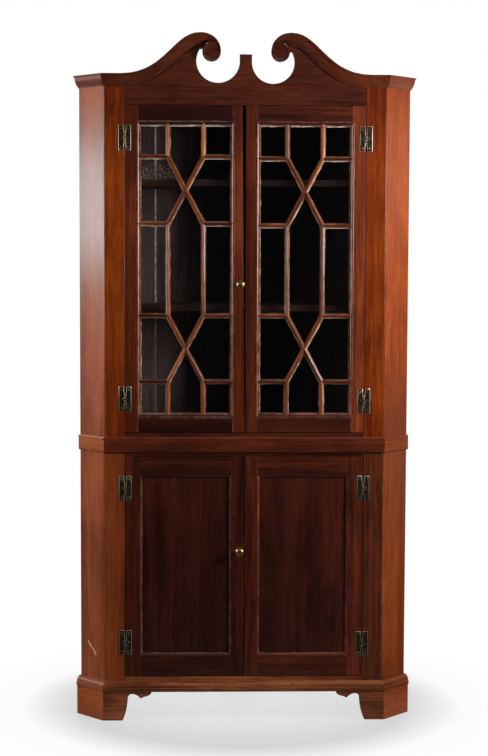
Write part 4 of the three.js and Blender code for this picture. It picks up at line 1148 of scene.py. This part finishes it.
def build_doors():
    for word, _ in SIDES:
        upper, lower = f"upper_door_{word}", f"lower_door_{word}"
        door_members(upper, Opening(f"{upper}_glass"), UPPER_SHOULDER, UPPER_BEAD_HIGHLIGHT)
        build_glazing(upper)
        panel = f"{lower}_panel"
        door_members(lower, Opening(panel), LOWER_SHOULDER, LOWER_BEAD_HIGHLIGHT, True)
        # Painted shade, with old wax, round the panel against its moulding
        solid = shaded_border(eased(copied(panel), PANEL_EASE), REBATE - MM, PANEL_SHADE_WIDTH)
        piece(f"{panel}_board", solid, panel, ("panel", PANEL_TONES[word]))


# Hinges and knobs

LEAF_GAP = 4 * MM
LEAF_EDGE = 21.5 * MM
LEAF_HALF = 43 * MM
LEAF_THICKNESS = 2 * MM
LEAF_EASE = 0.95 * MM
KNUCKLE_RADIUS = 3.5 * MM
KNUCKLE_HALF = 14 * MM
KNUCKLE_EASE = 0.6 * MM
MIDDLE_KNUCKLE_HALF = 6 * MM
KNUCKLE_PLAY = 0.3 * MM
SLOPE_END = 27 * MM
NECK = 1.4 * MM
SCREWS = ((12.6 * MM, 32 * MM), (9.4 * MM, 0), (12.6 * MM, -32 * MM))
SCREW_RADIUS = 3.1 * MM
SCREW_SEAT = 0.35 * MM
SCREW_SHARE = 0.96
SCREW_SLOT = 0.45 * MM
SCREW_HEIGHT = 0.9 * MM
SCREW_FOOT = 0.2 * MM
SCREW_EASE = 0.25 * MM


def leaf_outline(on_case):
    """Half of a leaf's outline as distance out from the pin and height, from the top down."""
    inner = MIDDLE_KNUCKLE_HALF + KNUCKLE_PLAY
    top = [(LEAF_EDGE, LEAF_HALF), (LEAF_GAP, LEAF_HALF), (LEAF_GAP, SLOPE_END)]
    if on_case:
        return top + [(NECK, KNUCKLE_HALF), (NECK, inner), (LEAF_GAP, inner)]
    return top + [(LEAF_GAP - NECK, KNUCKLE_HALF + 0.5 * MM), (LEAF_GAP, KNUCKLE_HALF),
                  (LEAF_GAP, inner), (NECK, MIDDLE_KNUCKLE_HALF)]


def knuckle(pin, bottom, top):
    barrel = prism([(c * KNUCKLE_RADIUS, s * KNUCKLE_RADIUS) for c, s in circle(24)], bottom, top,
                   lambda u, v, z: (pin.x + u, pin.y + v, z))
    return eased(barrel, KNUCKLE_EASE)


def screw(x, z, base, turn):
    """A slotted head: two half rounds with the slot between them, over a low seat."""
    radius = SCREW_RADIUS * SCREW_SHARE
    seat = base - SCREW_SEAT
    parts = [turned([(0, base), (SCREW_RADIUS, base), (radius, seat), (0, seat)], x, z, 20)]
    start = math.asin(SCREW_SLOT / SCREW_RADIUS)
    for half in (0, math.pi):
        arc = [start + (math.pi - 2 * start) * k / 8 + turn + half for k in range(9)]
        rim = [(x + radius * math.cos(a), z + radius * math.sin(a)) for a in arc]
        parts.append(eased(fronted(rim, base - SCREW_HEIGHT, base - SCREW_FOOT), SCREW_EASE, 1))
    return parts


def build_leaf(name, draw):
    low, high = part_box(name)
    on_case = name.endswith("case_leaf")
    out = 1 if on_case == ("_right_" in name) else -1
    pin = Vector(((low.x if out > 0 else high.x) + out * KNUCKLE_RADIUS, low.y + KNUCKLE_RADIUS, 0))
    middle = (low.z + high.z) / 2
    half = leaf_outline(on_case)
    outline = half + [(s, -t) for s, t in reversed(half)]
    front = high.y - LEAF_THICKNESS
    plate = fronted([(pin.x + out * s, middle + t) for s, t in outline], front, high.y)
    parts = [eased(plate, LEAF_EASE, 2,
                   lambda edge: all(abs(v.co.y - front) < MERGE for v in edge.verts))]
    inner = MIDDLE_KNUCKLE_HALF + KNUCKLE_PLAY
    spans = [(-KNUCKLE_HALF, -inner), (inner, KNUCKLE_HALF)] if on_case else [
        (-MIDDLE_KNUCKLE_HALF, MIDDLE_KNUCKLE_HALF)]
    parts += [knuckle(pin, middle + bottom, middle + top) for bottom, top in spans]
    for s, t in SCREWS:
        parts += screw(pin.x + out * s, middle + t, front, draw.uniform(0, math.pi))
    piece(f"{name}_plate", joined(*parts), name, "iron")


def build_hinges():
    draw = random.Random(7)
    for name in sorted(frame["nodes"]):
        if name.endswith("_leaf"):
            build_leaf(name, draw)


# Radius and depth in millimetres, from the end of the spindle to the front of the knob
KNOB_PROFILE = [
    (0, 26.3), (4, 26.3), (4, -0.3), (9.6, -0.3), (9.8, -1.2), (9.2, -2.6), (7.4, -3.1),
    (5.6, -3.6), (4.9, -5.2), (4.7, -8.5), (5.0, -12.0), (6.2, -14.8), (8.8, -16.8),
    (11.9, -18.4), (13.7, -20.6), (14.4, -23.2), (14.5, -25.2), (14.1, -27.2), (13.1, -29.0),
    (11.8, -30.2), (11.1, -30.5), (10.6, -30.3), (9.6, -31.6), (7.0, -32.9), (3.6, -33.8),
    (0, -34.0),
]
KNOB_RADIUS = 14.5 * MM
RIM_RADIUS = 12.4 * MM
RIM_DEPTH = 18 * MM
RIM_WEAR = 0.8
KNOB_WEAR = 0.15
TONGUE_TOP = 22.3 * MM
TONGUE_BACK = 26.3 * MM
TONGUE_HALF_WIDTH = 7 * MM
TONGUE_DROP = 34 * MM
TONGUE_EASE = 0.6 * MM


def build_knobs():
    for name in ("upper_knob", "lower_knob"):
        low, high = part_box(name)
        x = (low.x + high.x) / 2
        z = high.z - KNOB_RADIUS
        head = turned([(r * MM, FACE + y * MM) for r, y in KNOB_PROFILE], x, z, 64)
        wear_and_highlight = layer(head, "wear_and_highlight")
        for face in head.faces:
            centre = face.calc_center_median()
            on_rim = (math.hypot(centre.x - x, centre.z - z) > RIM_RADIUS
                      and centre.y < FACE - RIM_DEPTH)
            mark(face, wear_and_highlight, RIM_WEAR if on_rim else KNOB_WEAR)
        half = TONGUE_HALF_WIDTH
        arc = [(x + half * c, z + half * s) for c, s in circle(20)[:11]]
        tongue = fronted(arc + [(x - half, z - TONGUE_DROP), (x + half, z - TONGUE_DROP)],
                         FACE + TONGUE_TOP, FACE + TONGUE_BACK)
        piece(f"{name}_turned", joined(head, eased(tongue, TONGUE_EASE)), name, "brass")


# Room, light and camera

WHITE = (1, 1, 1, 1)
FLOOR_REACH = 9
FLOOR_CENTRE = (0, -0.1, 0)
FLOOR_SPREAD = (2.3, 2.1, 1)

# Name, place, target, width and height, power
LAMPS = (
    ("left_strip", (-3.2, -0.1, 1.9), (-0.5, -0.15, 1.8), (1.0, 0.6), 13.5),
    ("left_key", (-3.0, -1.05, 1.85), (-0.4, -0.3, 1.4), (0.9, 1.2), 64),
    ("right_key", (2.4, -1.5, 1.9), (0.3, -0.3, 1.6), (0.6, 0.7), 100),
    ("right_strip", (3.2, -0.1, 2.08), (0.5, -0.15, 1.9), (1.0, 0.6), 1.3),
    ("top_fill", (0.4, -2.4, 3.6), (0, -0.2, 1.4), (1.6, 1.2), 10),
)

# Camera, fitted to the photograph, with its yaw, pitch and roll in degrees
CAMERA_PLACE = (-0.16235, -5.8929, 1.62983)
CAMERA_ANGLES = (1.64, -4.28, 0.21)
FOCAL_PIXELS = 1600
PHOTO_HEIGHT = 756
SENSOR = 36


def build_stage():
    """A pale floor that goes over into the white of the backdrop. The varnish mirrors it as it is
    lit, and the white behind the cupboard. The white the camera sees is greyer in a ring round the
    cupboard: a painted soft shadow."""
    reach = FLOOR_REACH
    mesh = bpy.data.meshes.new("floor")
    mesh.from_pydata([(-reach, -reach, 0), (reach, -reach, 0), (reach, reach, 0),
                      (-reach, reach, 0)], [], [(0, 1, 2, 3)])
    floor = added("floor", mesh)
    material, graph, shader = blank("pale_floor")
    place = graph.coordinates()
    away = graph.vector("Value", "LENGTH", graph.local(place, FLOOR_CENTRE, reach=FLOOR_SPREAD))
    graph.fill(shader, {
        "Base Color": graph.ramp(away, (0.15, 0.5), (0.42, 0.05)), "Roughness": 0.3})

    seen = graph.node("LightPath").outputs
    mirrored = graph.math("MAXIMUM", seen["Is Glossy Ray"], seen["Is Transmission Ray"])
    behind = graph.ramp(graph.times(graph.apart(place)["Y"], 0.5), (0.2, 0.0), (0.7, 1.0))
    straight = graph.ramp(away, (0.1, 0.8), (0.27, 0.84), (0.35, 0.98), (0.5, 1.0))
    share = graph.math("MAXIMUM", graph.times(straight, seen["Is Camera Ray"]),
                       graph.times(behind, mirrored))
    # Painted shade: the white the camera sees dips to grey in a ring round the cupboard, a painted
    # soft shadow on the floor
    pale = graph.ramp(away, (0.05, 0.92), (0.26, 0.74), (0.35, 0.98), (0.5, 1.0))
    pale = graph.mixed(mirrored, pale, WHITE)
    white = graph.node("Emission", {"Color": pale, "Strength": 1.0})
    graph.shaded(share, shader, white)
    mesh.materials.append(material)


def build_world():
    """White where the camera looks and behind the cupboard, and a dim room before it."""
    world = bpy.data.worlds.new("studio")
    bpy.context.scene.world = world
    graph = Graph(world, "OutputWorld")
    depth = graph.apart(graph.coordinates("Generated"))["Y"]
    room = graph.ramp(graph.math("MULTIPLY_ADD", depth, 0.5, 0.5), (0.0, 0.01), (0.4, 0.03),
                      (0.58, 0.06), (0.75, 0.35), (0.95, 1.0))
    seen = graph.get("Is Camera Ray", "LightPath")
    background = graph.get(0, "Background", {
        "Color": graph.mixed(seen, room, WHITE), "Strength": 1.0})
    graph.fill(graph.output, {"Surface": background})


def build_lamps():
    for name, place, target, size, power in LAMPS:
        light = bpy.data.lights.new(name, "AREA")
        light.shape = "RECTANGLE"
        light.size, light.size_y = size
        light.energy = power
        lamp = added(name, light)
        lamp.location = place
        lamp.rotation_euler = (Vector(target) - Vector(place)).to_track_quat("-Z", "Y").to_euler()
        lamp.visible_camera = False


def build_camera():
    yaw, pitch, roll = map(math.radians, CAMERA_ANGLES)
    data = bpy.data.cameras.new("camera")
    data.sensor_width = SENSOR
    data.lens = SENSOR * FOCAL_PIXELS / PHOTO_HEIGHT
    camera = added("camera", data)
    camera.matrix_world = (
        Matrix.Translation(CAMERA_PLACE) @ Matrix.Rotation(-yaw, 4, "Z")
        @ Matrix.Rotation(math.pi / 2 + pitch, 4, "X") @ Matrix.Rotation(roll, 4, "Z"))
    bpy.context.scene.camera = camera


build_camera()
build_world()
build_lamps()
build_stage()
build_case()
build_mouldings()
build_pediment()
build_doors()
build_hinges()
build_knobs()

bpy.context.scene.view_settings.view_transform = "Standard"
